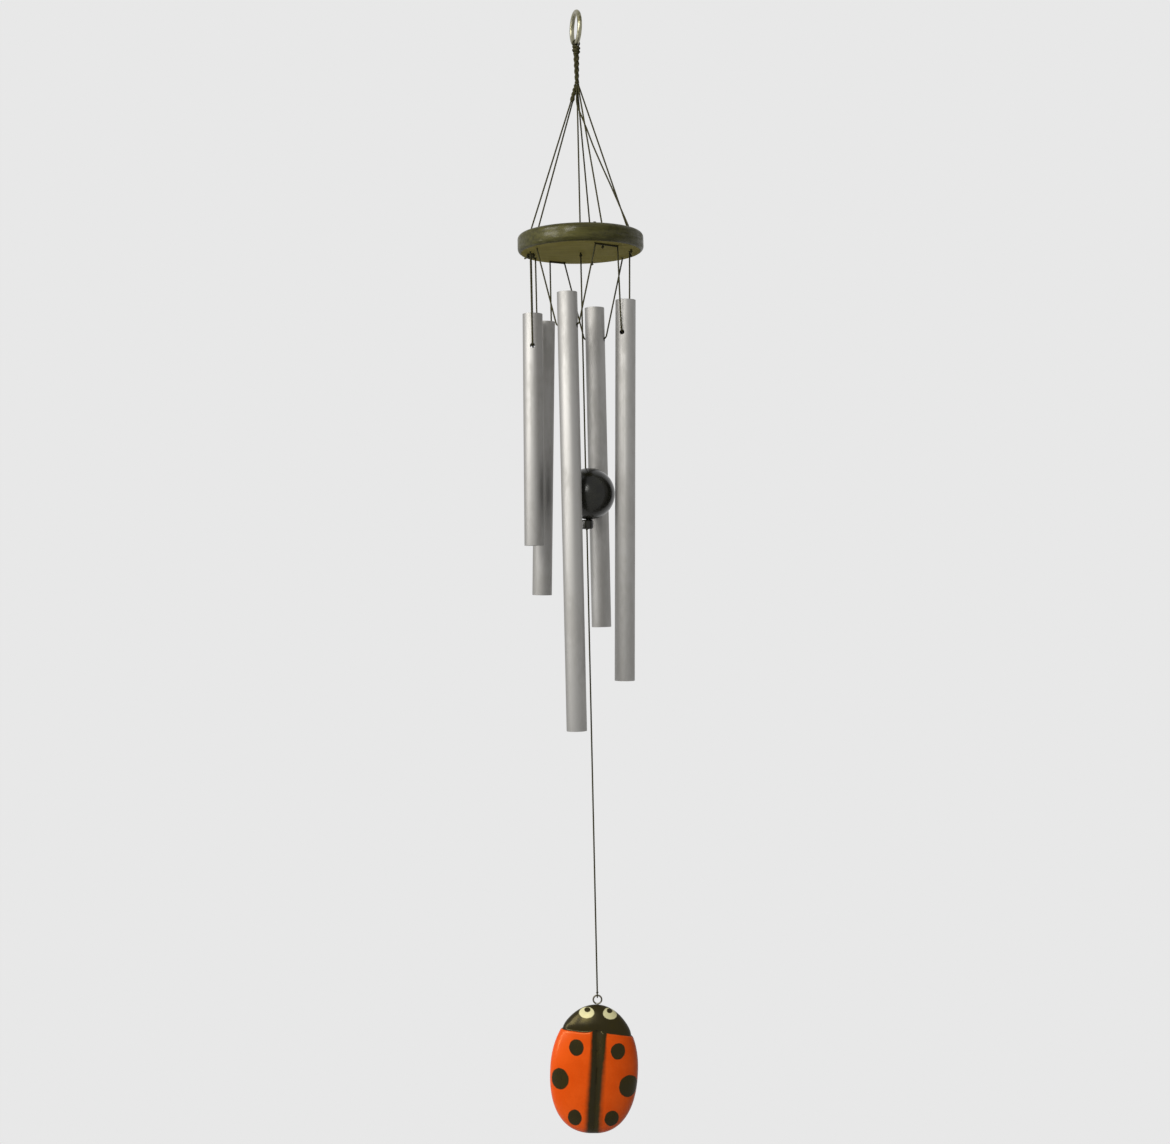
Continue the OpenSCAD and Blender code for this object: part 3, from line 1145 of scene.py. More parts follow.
@dataclass
class Cordage:
    """The waxed cord and the knots tied in it."""

    diameter: float = 1.1
    groove: float = 0.14
    strands: int = 3
    strand_steps: int = 6
    lay: float = 5.0
    drawn: float = 0.9
    step: float = 0.24
    leave: float = 0.5
    knot: float = 2.6
    knot_girth: float = 0.78
    knot_across: float = 0.66
    knot_lift: float = 0.40
    knot_rise: float = 1.5
    knot_steps: int = 72
    finish: Finish = field(default_factory=lambda: WaxedCord("waxed_cord", Slot.CORD))

    def __post_init__(self) -> None:
        """Draws the cord's cross section, which all runs share."""
        data = bpy.data.curves.new("cord_section", "CURVE")
        data.dimensions = "2D"
        outline = []
        for a in angles(self.strand_steps * self.strands):
            swell = 1 - self.groove + self.groove * abs(math.cos(self.strands * a / 2))
            outline.append(polar(self.diameter / 2 * swell, a))
        add_spline(data, outline, True)
        self.section = bpy.data.objects.new("cord_section", data)
        self.section.hide_render = True
        bpy.context.scene.collection.objects.link(self.section)

    def tie(self, name: str, runs: Sequence[Run], body: str, node: str) -> Piece:
        """Makes a piece of one or more runs of cord.

        Args:
            name: The piece's name.
            runs: Its runs.
            body: The body that it rides on.
            node: The node that it stands for.

        Returns:
            The piece.
        """
        data = bpy.data.curves.new(name, "CURVE")
        data.dimensions, data.twist_mode = "3D", "MINIMUM"
        data.bevel_mode, data.bevel_object, data.use_fill_caps = "OBJECT", self.section, True
        for run in runs:
            ends = list(run.points) + [run.points[0]] * run.closed
            turns = max(1, round(self.strands * sum(spans(ends)) / self.lay)) / self.strands
            for i, point in enumerate(add_spline(data, run.points, run.closed)):
                share = i / (len(ends) - 1)
                point.tilt = math.tau * turns * share
                point.radius = run.girth * (1 + (run.taper - 1) * share)
        return add_piece(name, data, self.finish, body, node)

    def free(
        self, name: str, line: Sequence[Vector], body: str, node: str,
        ends: FarEnd, lay: Lay, pieces: Sequence[Piece] = (),
    ) -> Piece:
        """Makes a free cord.

        Args:
            name: The cord's name.
            line: Its route, from its exit.
            body: The body that it rides on.
            node: The node that it stands for.
            ends: What its far end goes into; not used.
            lay: How it lies; not used.
            pieces: The separate pieces on it; not used.

        Returns:
            The cord.
        """
        points = even_steps(line, self.step)
        piece = self.tie(name, [Run(points, girth=self.drawn)], body, node)
        return piece

    def overhand(self, middle: Point, turn: Point, size: float = 1.0) -> Run:
        """Ties a stop knot.

        Args:
            middle: The knot's middle.
            turn: Its turn about X, Y and Z in degrees.
            size: Its size as a share of a full knot's.

        Returns:
            The knot's run.
        """
        girth = self.knot_girth * size
        outer = size * self.knot / 2 - girth * self.diameter / 2
        across, lift = self.knot_across * outer, self.knot_lift * outer
        way = Euler([math.radians(a) for a in turn]).to_matrix().to_4x4()
        place = Matrix.Translation(Vector(middle)) @ way
        points = []
        for a in angles(self.knot_steps):
            level = self.knot_rise * lift * math.sin(3 * a)
            points.append(place @ polar(across + lift * math.cos(3 * a), 2 * a, level))
        return Run(points, True, girth)

    def tail(self, start: Point, way: Point, length: float) -> Run:
        """Returns the run of a short cut end that leaves a knot one way."""
        a = Vector(start)
        return Run(even_steps([a, a + Vector(way).normalized() * length], self.step), girth=self.drawn)


@dataclass
class HangingRing:
    """The plated ring at the top."""

    outside: float = 21.2
    wire: float = 2.8
    flat: float = 0.25
    wire_steps: int = 48
    ring_steps: int = 128
    sharp: float = 25.0
    finish: Finish = field(default_factory=lambda: MetalWire("plated_wire", Slot.RING))

    def build(self) -> None:
        """Bends the wire to a ring with a flat inside."""
        form = bmesh.new()
        radius = (self.outside - self.wire) / 2
        bore = self.outside / 2 - self.wire + self.flat
        outline = Matrix.Translation((radius, 0, 0)) @ turned(90, "X")
        bmesh.ops.create_circle(form, segments=self.wire_steps, radius=self.wire / 2, matrix=outline)
        drawn = form.verts[:] + form.edges[:]
        bmesh.ops.bisect_plane(form, geom=drawn, plane_co=(bore, 0, 0), plane_no=(1, 0, 0), clear_inner=True)
        form.edges.new([v for v in form.verts if len(v.link_edges) == 1])
        spin_closed(form, form.verts[:] + form.edges[:], self.ring_steps)
        mesh = write_mesh("ring_wire", form, turned(RING_TURN, "Z") @ turned(90, "Y"), self.sharp)
        add_piece("ring_wire", mesh, self.finish, "ring", "hanging_ring")


@dataclass
class Neck:
    """The hitch on the ring and the plaited neck under it."""

    cord: Cordage
    wire_z: float = -9.2
    loop: float = 1.98
    loop_turns: int = 2
    loop_steps: int = 96
    loop_girth: float = 0.82
    spread: float = 0.5
    collar: tuple = ((14, 1.75), (-16, 1.9), (15, 1.75), (-14, 1.25))
    collar_top: float = -11.6
    collar_bottom: float = -15.0
    collar_steps: int = 40
    collar_girth: float = 1.3
    tuck: float = 0.4
    bottom: float = -33.6
    plait: float = 10.8
    plait_steps: int = 110
    step: float = 0.2
    sway: float = 1.05
    depth: float = 0.5
    draw_in: float = 0.36
    girth: float = 1.8
    taper: float = 0.66
    strands: int = 3

    def build(self) -> None:
        """Ties the hitch and plaits the neck."""
        self.cord.tie("ring_hitch_tied", [self.loops(), *self.collars()], "neck", "ring_hitch")
        strands = [self.strand(i / self.strands) for i in range(self.strands)]
        self.cord.tie("neck_plaited", strands, "neck", "neck_plait")

    def loops(self) -> Run:
        """Winds the cord round the ring's wire.

        Returns:
            The loops' run.
        """
        points = []
        for share in shares(self.loop_steps):
            a = -math.pi / 2 + self.loop_turns * math.tau * share
            level = self.wire_z + self.loop * math.sin(a)
            along = self.spread * (2 * share - 1)
            points.append(turned(RING_TURN, "Z") @ Vector((self.loop * math.cos(a), along, level)))
        return Run(points, girth=self.loop_girth)

    def collars(self) -> list[Run]:
        """Draws the hitch's turns tight below the wire.

        Returns:
            A run for each turn, by its tilt and its radius.
        """
        runs = []
        for share, (tilt, radius) in zip(shares(len(self.collar) - 1), self.collar):
            middle = Vector((0, 0, self.collar_top + (self.collar_bottom - self.collar_top) * share))
            lean = turned(RING_TURN, "Z") @ turned(tilt, "Y")
            ring = [middle + lean @ polar(radius, a) for a in angles(self.collar_steps)]
            runs.append(Run(ring, True, self.collar_girth))
        return runs

    def strand(self, phase: float) -> Run:
        """Lays one strand of the plait.

        Args:
            phase: How far it is along the plait's turn, from 0 to 1.

        Returns:
            The strand's run.
        """
        points = []
        top = self.collar_top + self.tuck
        for share in shares(self.plait_steps):
            level = top + (self.bottom - top) * share
            a = math.tau * ((top - level) / self.plait + phase)
            tight = 1 - self.draw_in * share
            x, y = self.sway * tight * math.sin(a), self.depth * tight * math.sin(2 * a)
            points.append(turned(RING_TURN, "Z") @ Vector((x, y, level)))
        return Run(even_steps(points, self.step), girth=self.girth, taper=self.taper)


@dataclass
class DiscHoles:
    """Places of the cord holes in the disc, by what passes through them."""

    centre: tuple = (0.0, 0.0)
    crown: dict = field(default_factory=lambda: {
        "left": (-30.75, 0.0),
        "back": (6.917, 29.962),
        "front": (12.975, -22.473),
        "right_front": (30.078, -6.393),
        "right_back": (30.078, 6.393),
    })
    slings: tuple = (
        ((-30.0, 7.0), (-30.0, -7.0)),
        ((-18.937, 23.678), (-27.556, 12.646)),
        ((25.384, 17.934), (-9.995, 29.429)),
        ((21.714, -19.666), (29.281, -0.937)),
        ((-25.687, -17.362), (8.518, -29.811)),
    )

    def sling_ends(self) -> list[tuple[float, float]]:
        """Returns every hole of a sling."""
        return [hole for pair in self.slings for hole in pair]

    def shared(self) -> tuple[float, float]:
        """Returns the sling's hole that a crown cord shares."""
        return self.slings[1][1]

    def all(self) -> list[tuple[float, float]]:
        """Returns every hole."""
        return [self.centre, *self.crown.values(), *self.sling_ends()]


@dataclass
class Crown:
    """The gather, its cords down to the wooden disc, the disc and the knots on it."""

    cord: Cordage
    gather_top: float = -31.9
    gather_face: float = -34.4
    gather_loop: float = 0.95
    gather_tuck: float = 0.25
    gather_turns: float = 2.4
    gather_steps: int = 90
    gather_girth: float = 0.92
    branch_top: tuple = (-0.7, 0.0, -34.3)
    branch_end: tuple = (-3.0, 0.0, -42.6)
    branch_half: float = 0.5
    branch_turns: float = 1.6
    branch_steps: int = 60
    branch_girth: float = 1.4
    branch_taper: float = 1.2
    branch_knots: tuple = (((0.0, 0.0, 0.0), (80, 20, 0), 1.15), ((0.0, 0.1, -0.4), (20, 70, 40), 1.1))
    disc_top: float = -124.052
    disc_bottom: float = -134.852
    disc_d: float = 75.5
    disc_round: float = 2.7
    disc_steps: int = 144
    round_steps: int = 8
    hole_d: float = 1.8
    foot_z: float = -136.202
    bend: float = 2.6
    slack_bend: float = 14.0
    starts: dict = field(default_factory=lambda: {
        "front": (0.6, -0.7, -34.6),
        "right_front": (-0.2, -0.7, -34.6),
        "right_back": (0.95, 0.3, -34.3),
        "back": (0.1, 0.7, -34.6),
        "left": (-3.6, -0.5, BRANCH_FOOT),
    })
    shared_start: tuple = (-2.7, 0.5, BRANCH_FOOT)
    slack: dict = field(default_factory=lambda: {"right_front": (
        (-0.5, -1.3, -46.0), (5.4, -2.1, -61.6), (8.9, -2.8, -71.7), (13.5, -3.6, -83.2), (19.1, -4.8, -96.7),
    )})
    knot_size: float = 0.74
    knot_lean: tuple = (12, 8)
    knot_spin: float = 40.0
    left_knot: float = 1.5
    left_second: tuple = (2.1, -1.3, 0.1)
    left_second_turn: tuple = (25, 30, 60)
    left_second_size: float = 1.2
    left_tails: tuple = ((-0.9, 0.4, -0.35), (0.8, 0.5, -0.3), (-0.5, -0.9, -0.2))
    left_tail: float = 3.6
    anchor_lift: float = 0.7
    anchor_lap: float = 0.15
    anchor_size: float = 0.8
    anchor_lean: tuple = (8, 5)
    anchor_spin: float = 47.0
    anchor_splay: float = 0.6
    anchor_tail: float = 3.4
    stitch_drop: float = 0.6
    holes: DiscHoles = field(default_factory=DiscHoles)
    wood: Finish = field(default_factory=lambda: StainedWood("stained_wood", Slot.DISC))

    def build(self) -> None:
        """Builds the disc, then ties everything that hangs it."""
        self.turn_disc()
        self.tie_gather()
        self.tie_branch()
        for name in self.starts:
            self.hang(name)
        self.hang_shared()
        line = plumb(self.gather_face, UNDER_DISC)
        self.cord.free("centre_cord_run", line, "crown", "centre_cord", FarEnd.OBJECT, Lay.TAUT)
        self.tie_anchors()
        self.stitch("front", self.holes.slings[4][1], self.holes.slings[3][0])
        self.stitch("back", self.holes.slings[1][0], self.holes.slings[2][1])

    def turn_disc(self) -> None:
        """Turns the disc and drills its cord holes."""
        height = self.disc_top - self.disc_bottom
        middle = (self.disc_top + self.disc_bottom) / 2
        form = puck(self.disc_d, height, self.disc_round, self.disc_steps, self.round_steps)
        mesh = write_mesh("disc_turned", form, lifted(middle))
        piece = add_piece("disc_turned", mesh, self.wood, "crown", "disc")
        places = [Matrix.Translation((x, y, middle)) for x, y in self.holes.all()]
        drill(piece, places, self.hole_d, 2 * height)

    def tie_gather(self) -> None:
        """Whips the neck's end, with the first quarter tucked in."""
        coil = []
        for share in shares(self.gather_steps):
            radius = self.gather_loop - self.gather_tuck * max(0.0, 1 - share * 4)
            level = self.gather_top + (self.gather_face - self.gather_top) * share
            coil.append(polar(radius, math.tau * self.gather_turns * share, level))
        self.cord.tie("gather_whipped", [Run(coil, girth=self.gather_girth)], "crown", "gather_knot")

    def tie_branch(self) -> None:
        """Twists the branch of the two left cords and knots its end."""
        start, end = Vector(self.branch_top), Vector(self.branch_end)
        runs = []
        for phase in (0.0, 0.5):
            strand = []
            for share in shares(self.branch_steps):
                a = math.tau * (self.branch_turns * share + phase)
                strand.append(start.lerp(end, share) + polar(self.branch_half, a))
            runs.append(Run(strand, girth=self.branch_girth, taper=self.branch_taper))
        runs += [self.cord.overhand(end + Vector(off), turn, size) for off, turn, size in self.branch_knots]
        self.cord.tie("branch_twisted", runs, "crown", "branch_knot")

    def hang(self, name: str) -> None:
        """Hangs the disc by one cord with a stop knot under it.

        Args:
            name: The cord's place.
        """
        node = "crown_cord_" + name
        hole, route = self.holes.crown[name], self.slack.get(name, ())
        foot = (*hole, self.foot_z)
        size = self.left_knot if name == "left" else self.knot_size
        runs = [self.cord.overhand(foot, (*self.knot_lean, self.knot_spin * len(name)), size)]
        if name == "left":
            second = Vector(foot) + Vector(self.left_second)
            runs.append(self.cord.overhand(second, self.left_second_turn, self.left_second_size))
            runs += [self.cord.tail(foot, way, self.left_tail) for way in self.left_tails]
        knot = self.cord.tie("crown_knot_" + name, runs, "crown", node)
        path = [self.starts[name], *route, (*hole, self.disc_top), foot]
        line = rounded(path, [self.slack_bend] * len(route) + [self.bend])
        lay = Lay.LOOSE if route else Lay.TAUT
        self.cord.free(node + "_run", line, "crown", node, FarEnd.KNOT, lay, [knot])

    def hang_shared(self) -> None:
        """Hangs the back left cord, which runs on down as a leg of a sling."""
        hole = self.holes.shared()
        line = rounded([self.shared_start, (*hole, self.disc_top), (*hole, UNDER_DISC)], [self.bend])
        node = "crown_cord_back_left"
        self.cord.free(node + "_run", line, "crown", node, FarEnd.OBJECT, Lay.TAUT)

    def tie_anchors(self) -> None:
        """Ties the slings' still ends: up through the disc to a knot on top."""
        runs = []
        level = self.disc_top + self.anchor_lift
        knots = [hole for hole in self.holes.sling_ends() if hole != self.holes.shared()]
        for i, (x, y) in enumerate(knots):
            spin = self.anchor_spin * i
            inwards = Vector((-x, -y, 0)).normalized()
            way = inwards + self.anchor_splay * math.sin(spin) * inwards.cross(Vector((0, 0, 1)))
            stem = even_steps(plumb(UNDER_DISC - self.anchor_lap, level, x, y), self.cord.step)
            runs.append(Run(stem, girth=self.anchor_size))
            runs.append(self.cord.overhand((x, y, level), (*self.anchor_lean, spin), self.anchor_size))
            runs.append(self.cord.tail((x, y, level - self.anchor_lap), way, self.anchor_tail))
        self.cord.tie("anchor_knots_tied", runs, "crown", "anchor_knots")

    def stitch(self, name: str, start: Point, end: Point) -> None:
        """Lays a stitch of cord along the underside.

        Args:
            name: Front or back.
            start: The hole that it starts at.
            end: The hole that it ends at.
        """
        level = self.disc_bottom - self.stitch_drop
        points = even_steps([Vector((*start, level)), Vector((*end, level))], self.cord.step)
        node = "run_cord_" + name
        self.cord.tie(node + "_stitch", [Run(points)], "crown", node)


@dataclass
class Chime:
    """One tube and the sling that it hangs on."""

    number: int
    length: float
    angle: float
    hang_r: float
    pivot_z: float
    exit_half: float
    lean: float


@dataclass
class Chimes:
    """The five tubes on their slings."""

    cord: Cordage
    outside: float = 12.0
    wall: float = 1.0
    rim: float = 0.14
    rim_steps: int = 2
    steps: int = 96
    hole_d: float = 3.0
    hole_drop: float = 19.6
    hole_below: float = 0.65
    leg_half: float = 6.9
    elbow: float = 2.4
    dip: float = 0.35
    metal: Finish = field(default_factory=lambda: DrawnAluminium("drawn_aluminium", Slot.TUBE))
    rows: tuple = (
        Chime(1, 139.0, 180.0, 30.0, -189.902, 7.0, 0.8),
        Chime(2, 167.0, 142.0, 29.5, -192.002, 7.0, 2.5),
        Chime(3, 196.0, 72.0, 24.9, -183.302, 18.6, 0.0),
        Chime(4, 226.0, -22.0, 27.5, -184.502, 10.1, -1.5),
        Chime(5, 257.0, -110.0, 25.1, -181.302, 18.2, 0.0),
    )

    def build(self) -> None:
        """Makes each tube and its sling."""
        for row in self.rows:
            pivot = turned(row.angle, "Z") @ Matrix.Translation((row.hang_r, 0, row.pivot_z))
            self.draw_tube(row, pivot @ turned(-row.lean, "Y"))
            self.sling(row, pivot)

    def draw_tube(self, row: Chime, place: Matrix) -> None:
        """Draws a tube, breaks its rims and drills its cross hole.

        Args:
            row: The tube's sizes.
            place: Where its sling holds it.
        """
        top = self.hole_drop - self.hole_below
        foot = top - row.length
        outer, inner = self.outside / 2, self.outside / 2 - self.wall
        form = lathe([(inner, foot), (outer, foot), (outer, top), (inner, top)], self.steps)
        round_rims(form, self.rim, self.rim_steps)
        node = "tube_%d" % row.number
        mesh = write_mesh(node + "_drawn", form, place)
        piece = add_piece(node + "_drawn", mesh, self.metal, node, node)
        across = lifted(-self.hole_below) @ turned(90, "X")
        drill(piece, [place @ across], self.hole_d, self.outside + DRILL_PAST)

    def sling(self, row: Chime, pivot: Matrix) -> None:
        """Hangs a sling: two legs and the stretch through the tube.

        Args:
            row: The tube's sizes.
            pivot: Middle of the sling's stretch.
        """
        top = UNDER_DISC - row.pivot_z
        route = [
            (0, -row.exit_half, top), (0, -self.leg_half, -self.dip),
            (0, self.leg_half, -self.dip), (0, row.exit_half, top),
        ]
        line = [pivot @ p for p in rounded(route, [self.elbow] * 2)]
        node = "sling_%d" % row.number
        self.cord.free(node + "_cord", line, node, node, FarEnd.OBJECT, Lay.TAUT)


@dataclass
class Striker:
    """The knot under the disc, the line, the ball and its stop bead."""

    cord: Cordage
    knot_z: float = -136.452
    knot_size: float = 0.78
    line_short: float = 0.9
    ball_z: float = -279.552
    ball_d: float = 31.0
    ball_side: float = 1.8
    ball_around: int = 112
    ball_down: int = 72
    bead_top: float = -295.102
    bead_d: float = 8.0
    bead_h: float = 5.6
    bead_round: float = 1.2
    bead_steps: int = 80
    round_steps: int = 6
    hole_d: float = 1.8
    pocket_d: float = 3.3
    pocket_cut: float = 4.0
    lacquer: Finish = field(default_factory=lambda: BlackLacquer("black_lacquer", Slot.STRIKER))

    def build(self) -> None:
        """Ties the line and turns the ball and the bead."""
        self.tie_knot("centre_knot", self.knot_z, (75, 15, 20), self.knot_size)
        self.tie_knot("stop_knot", STOP_KNOT, (70, 30, 60))
        line = plumb(self.knot_z - self.cord.leave, STOP_KNOT + self.line_short)
        self.cord.free("striker_cord_run", line, "striker", "striker_cord", FarEnd.OBJECT, Lay.HANGING)
        self.turn_ball()
        self.turn_bead()

    def tie_knot(self, node: str, level: float, turn: Point, size: float = 1.0) -> None:
        """Ties a knot on the line, which rides on a body of its own name."""
        self.cord.tie(node + "_tied", [self.cord.overhand((0.0, 0.0, level), turn, size)], node, node)

    def turn_ball(self) -> None:
        """Turns the ball and drills it a little off its middle."""
        form = bmesh.new()
        bmesh.ops.create_uvsphere(
            form, u_segments=self.ball_around, v_segments=self.ball_down, radius=self.ball_d / 2
        )
        place = lifted(self.ball_z)
        mesh = write_mesh("striker_ball_turned", form, place @ Matrix.Translation((self.ball_side, 0, 0)))
        piece = add_piece("striker_ball_turned", mesh, self.lacquer, "striker", "striker_ball")
        drill(piece, [place], self.hole_d, self.ball_d + DRILL_PAST)

    def turn_bead(self) -> None:
        """Turns the stop bead and drills its hole and the pocket for its knot."""
        middle = lifted(self.bead_top - self.bead_h / 2)
        form = puck(self.bead_d, self.bead_h, self.bead_round, self.bead_steps, self.round_steps)
        mesh = write_mesh("stop_bead_turned", form, middle)
        piece = add_piece("stop_bead_turned", mesh, self.lacquer, "striker", "stop_bead")
        drill(piece, [middle], self.hole_d, self.bead_h + DRILL_PAST)
        drill(piece, [lifted(self.bead_top - self.bead_h)], self.pocket_d, self.pocket_cut)


@dataclass
class Sail:
    """The sail line, the loop on the screw eye, and the ladybird."""

    cord: Cordage
    knot_z: float = -578.852
    knot_size: float = 0.6
    knot_turn: tuple = (72, 20, 35)
    line_short: float = 0.2
    loop_z: float = -580.502
    loop_r: float = 1.15
    loop_steps: int = 36
    loop_girth: float = 0.75
    eye_z: float = -583.002
    eye_r: float = 2.5
    eye_wire: float = 1.0
    eye_start: float = -86.0
    eye_turn: float = 344.0
    eye_steps: int = 60
    eye_sides: int = 5
    shank_d: float = 1.4
    shank_len: float = 9.0
    tip: float = 1.2
    tip_share: float = 0.6
    shoulder: float = 1.4
    throat: float = 0.5
    throat_share: float = 1.1
    lean: float = 4.0
    top: float = LADYBIRD_TOP
    length: float = 77.0
    width: float = 52.8
    thick: float = 20.0
    head_full: float = 2.0
    tail_full: float = 2.4
    head_cut: float = 0.75
    head_slope: float = 4.5
    head_step: float = 0.9
    line: HeadLine = HeadLine()
    groove: Groove = Groove()
    around: int = 320
    down: int = 230
    sharp: float = 60.0
    wire: Finish = field(default_factory=lambda: MetalWire(
        "tarnished_wire", Slot.EYE, bright=(0.16, 0.148, 0.115), tarnish=(0.05, 0.045, 0.033),
        smooth=0.35, rough=0.6, tarnish_from=0.2, scale=700.0,
    ))

    def place(self) -> Matrix:
        """Returns the place of what is drawn about the middle of the screw eye."""
        return lifted(self.eye_z) @ turned(self.lean, "Y")

    def build(self) -> None:
        """Ties the line and its loop, bends the screw eye and carves the ladybird."""
        line = plumb(STOP_KNOT - self.cord.leave, self.knot_z + self.line_short)
        self.cord.free("sail_cord_run", line, "sail_line", "sail_cord", FarEnd.OBJECT, Lay.HANGING)
        self.tie_loop()
        self.bend_eye()
        self.carve()

    def tie_loop(self) -> None:
        """Ties the loop through the screw eye and the knot that closes it."""
        loop = [
            Vector((0, self.loop_r * math.sin(a), self.loop_z + self.loop_r * math.cos(a)))
            for a in angles(self.loop_steps)
        ]
        knot = self.cord.overhand((0, 0, self.knot_z), self.knot_turn, self.knot_size)
        self.cord.tie("eye_loop_tied", [Run(loop, True, self.loop_girth), knot], "eye_loop", "eye_loop")

    def bend_eye(self) -> None:
        """Bends the screw eye: a ring of wire that closes on its shank."""
        data = bpy.data.curves.new("screw_eye_bent", "CURVE")
        data.dimensions, data.bevel_mode, data.use_fill_caps = "3D", "ROUND", True
        data.bevel_depth, data.bevel_resolution = self.eye_wire / 2 * MM, self.eye_sides
        swell = self.shank_d / self.eye_wire
        shank = (
            (self.shank_len, self.tip_share * swell), (self.shank_len - self.tip, swell),
            (self.shoulder, swell), (self.throat, self.throat_share),
        )
        line = [(Vector((0, 0, -self.eye_r - drop)), girth) for drop, girth in shank]
        for share in shares(self.eye_steps):
            a = math.radians(self.eye_start + self.eye_turn * share)
            line.append((Vector((self.eye_r * math.cos(a), 0, self.eye_r * math.sin(a))), 1.0))
        made = add_spline(data, [self.place() @ point for point, _ in line])
        for point, (_, girth) in zip(made, line):
            point.radius = girth
        add_piece("screw_eye_bent", data, self.wire, "sail", "screw_eye")

    def carve(self) -> None:
        """Carves the ladybird from a ball: body, head line and groove between the wing cases."""
        form = bmesh.new()
        bmesh.ops.create_uvsphere(form, u_segments=self.around, v_segments=self.down, radius=1.0)
        for vert in form.verts:
            vert.co = self.carved(vert.co)
        bmesh.ops.recalc_face_normals(form, faces=form.faces)
        place = self.place()
        mesh = write_mesh("ladybird_carved", form, place, self.sharp)
        into_local = (Matrix.Scale(MM, 4) @ place @ Matrix.Scale(1 / MM, 4)).inverted()
        paint = LadybirdPaint("ladybird_paint", Slot.SAIL, into_local, self.top, self.line)
        add_piece("ladybird_carved", mesh, paint, "sail", "ladybird")

    def carved(self, ball: Vector) -> Vector:
        """Moves a point of the unit ball to the carved form.

        Args:
            ball: The point on the ball.

        Returns:
            The point about the middle of the screw eye.
        """
        t = max(-1.0, min(1.0, -ball.z))
        full = self.head_full if t < 0 else self.tail_full
        taper = max(0.0, 1 - abs(t) ** full) ** (1 / full)
        a = math.atan2(ball.y, ball.x)
        half_w, half_t = self.width / 2 * taper, self.thick / 2 * taper
        x, y, down = half_w * math.cos(a), half_t * math.sin(a), self.length * (1 + t) / 2
        if taper > 1e-4:
            out = Vector((math.cos(a) / half_w, math.sin(a) / half_t, 0)).normalized()
            past = down - self.line.at(x)
            cut = self.head_line_cut(past)
            x, y = x - out.x * cut, y - out.y * cut
            off = abs(x - self.groove.at(down)) / self.groove.half
            if past > 0 and off < 1:
                deep = min(self.groove.deep, self.groove.share * half_t) * min(1.0, past / self.head_step)
                y -= math.copysign(deep * (1 - off) ** self.groove.slope, y)
        return Vector((x, y, self.top - down))

    def head_line_cut(self, past: float) -> float:
        """Finds how deep the line behind the head is cut.

        Args:
            past: Distance past the line, towards the tail.

        Returns:
            The depth of the cut there.
        """
        if -self.head_slope < past <= 0:
            return self.head_cut * (1 + past / self.head_slope) ** 2
        if 0 < past < self.head_step:
            return self.head_cut * (1 - past / self.head_step)
        return 0.0


@dataclass(frozen=True)
class Lamp:
    """A soft light: its place, aim, width and height in metres, its watts and its colour."""

    name: str
    at: tuple
    towards: tuple
    size: tuple
    power: float
    colour: tuple

    def hang(self) -> None:
        """Puts the light into the scene."""
        data = bpy.data.lights.new(self.name, "AREA")
        data.shape, data.size, data.size_y = "RECTANGLE", *self.size
        data.energy, data.color = self.power, self.colour
        lamp = bpy.data.objects.new(self.name, data)
        lamp.location = self.at
        lamp.rotation_euler = (Vector(self.towards) - Vector(self.at)).to_track_quat("-Z", "Y").to_euler()
        bpy.context.scene.collection.objects.link(lamp)


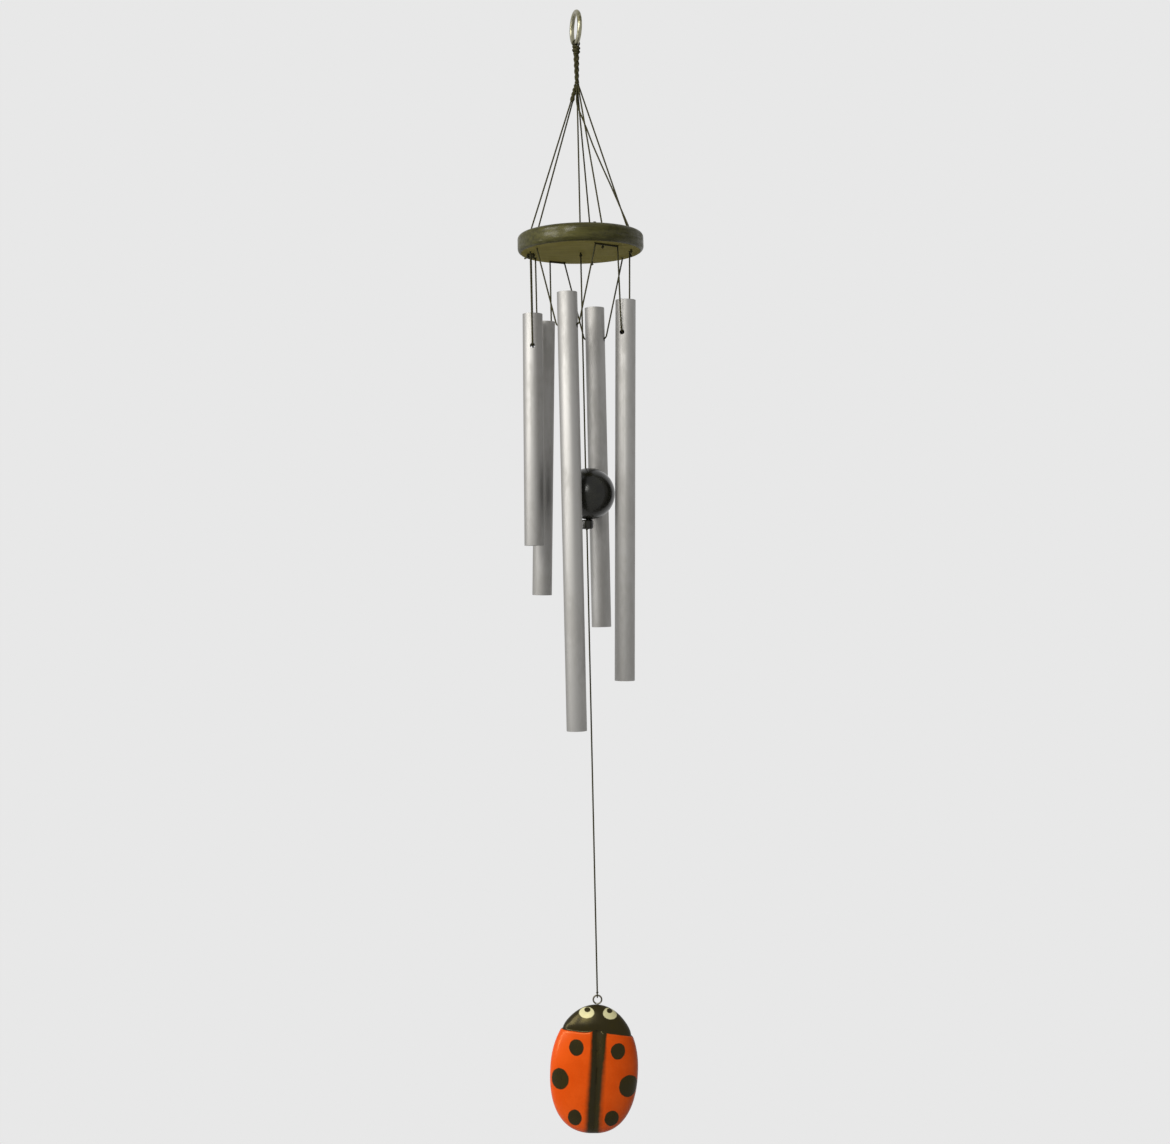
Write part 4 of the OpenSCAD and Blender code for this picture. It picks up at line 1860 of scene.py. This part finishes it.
@dataclass
class Studio:
    """Camera, lights, pale background and floor, with places in metres."""

    focal_px: float = 1636.0
    frame_px: float = 1170.0
    sensor: float = 36.0
    near: float = 0.01
    far: float = 50.0
    roll: float = 1.283
    eye: tuple = (-0.00172, -0.9816, -0.3264)
    backdrop: float = 0.807
    ambient_left: float = 0.30
    ambient_right: float = 0.14
    floor_z: float = -1.2
    floor_steps: int = 96
    floor: PaleFloor = PaleFloor("pale_floor")
    lamps: tuple = (
        Lamp("key", (-1.2, -0.85, 0.3), (0.0, 0.0, -0.36), (0.7, 0.9), 18.5, (1.0, 0.98, 0.95)),
        Lamp("window", (-1.25, -0.35, -0.34), (0.0, 0.0, -0.34), (0.16, 0.5), 3.6, (1.0, 0.99, 0.97)),
        Lamp("fill", (-0.44, -1.34, 0.3), (0.0, 0.0, -0.4), (0.5, 0.5), 11.5, (1.0, 0.99, 0.95)),
    )

    def build(self) -> None:
        """Sets up all of it."""
        bpy.context.scene.view_settings.view_transform = "Standard"
        self.set_camera()
        self.make_world()
        for lamp in self.lamps:
            lamp.hang()
        self.lay_floor()

    def set_camera(self) -> None:
        """Places the camera where the photograph was taken from."""
        data = bpy.data.cameras.new("camera")
        data.sensor_fit, data.sensor_width = "HORIZONTAL", self.sensor
        data.lens = self.focal_px / self.frame_px * self.sensor
        data.clip_start, data.clip_end = self.near, self.far
        camera = bpy.data.objects.new("camera", data)
        lean, rise = math.sin(math.radians(self.roll)), math.cos(math.radians(self.roll))
        right, up, back = (rise, 0, -lean), (lean, 0, rise), (0, -1, 0)
        camera.matrix_world = Matrix.Translation(self.eye) @ Matrix((right, up, back)).transposed().to_4x4()
        bpy.context.scene.collection.objects.link(camera)
        bpy.context.scene.camera = camera

    def make_world(self) -> None:
        """Makes the pale background, with a plain level of soft light from it."""
        world = bpy.data.worlds.new("pale_room")
        world.use_nodes = True
        world.node_tree.nodes.clear()
        bpy.context.scene.world = world
        wiring = Wiring(world.node_tree)
        rays = wiring.node("ShaderNodeLightPath").outputs
        seen = wiring.math("ADD", rays["Is Camera Ray"], rays["Is Glossy Ray"], clamp=True)
        seen = wiring.math("ADD", seen, rays["Is Transmission Ray"], clamp=True)
        way = wiring.apart(wiring.node("ShaderNodeTexCoord").outputs["Generated"])
        strength = wiring.ease(way[0], -1.0, 1.0, self.ambient_left, self.ambient_right)
        soft = wiring.fill(wiring.node("ShaderNodeBackground"), {"Strength": strength}).outputs[0]
        pale = wiring.fill(wiring.node("ShaderNodeBackground"), {"Color": (self.backdrop,) * 3}).outputs[0]
        both = wiring.fill(wiring.node("ShaderNodeMixShader"), {0: seen, 1: soft, 2: pale}).outputs[0]
        wiring.fill(wiring.node("ShaderNodeOutputWorld"), {"Surface": both})

    def lay_floor(self) -> None:
        """Lays a plain pale floor that fades into the background."""
        form = bmesh.new()
        bmesh.ops.create_circle(form, cap_ends=True, segments=self.floor_steps, radius=self.floor.radius / MM)
        mesh = write_mesh("floor", form, lifted(self.floor_z / MM))
        mesh.materials.append(self.floor.material())
        piece = bpy.data.objects.new("floor", mesh)
        bpy.context.scene.collection.objects.link(piece)


def main() -> None:
    """Loads the frame and dresses each sub-assembly in order."""
    logging.basicConfig(level=logging.INFO, format="%(name)s: %(message)s")
    for leftover in list(bpy.data.objects):
        bpy.data.objects.remove(leftover)
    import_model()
    Studio().build()
    cord = Cordage()
    for assembly in (HangingRing(), Neck(cord), Crown(cord), Chimes(cord), Striker(cord), Sail(cord)):
        assembly.build()
    bpy.context.view_layer.update()
    LOG.info("boxes noted")


if __name__ == "__main__":
    main()
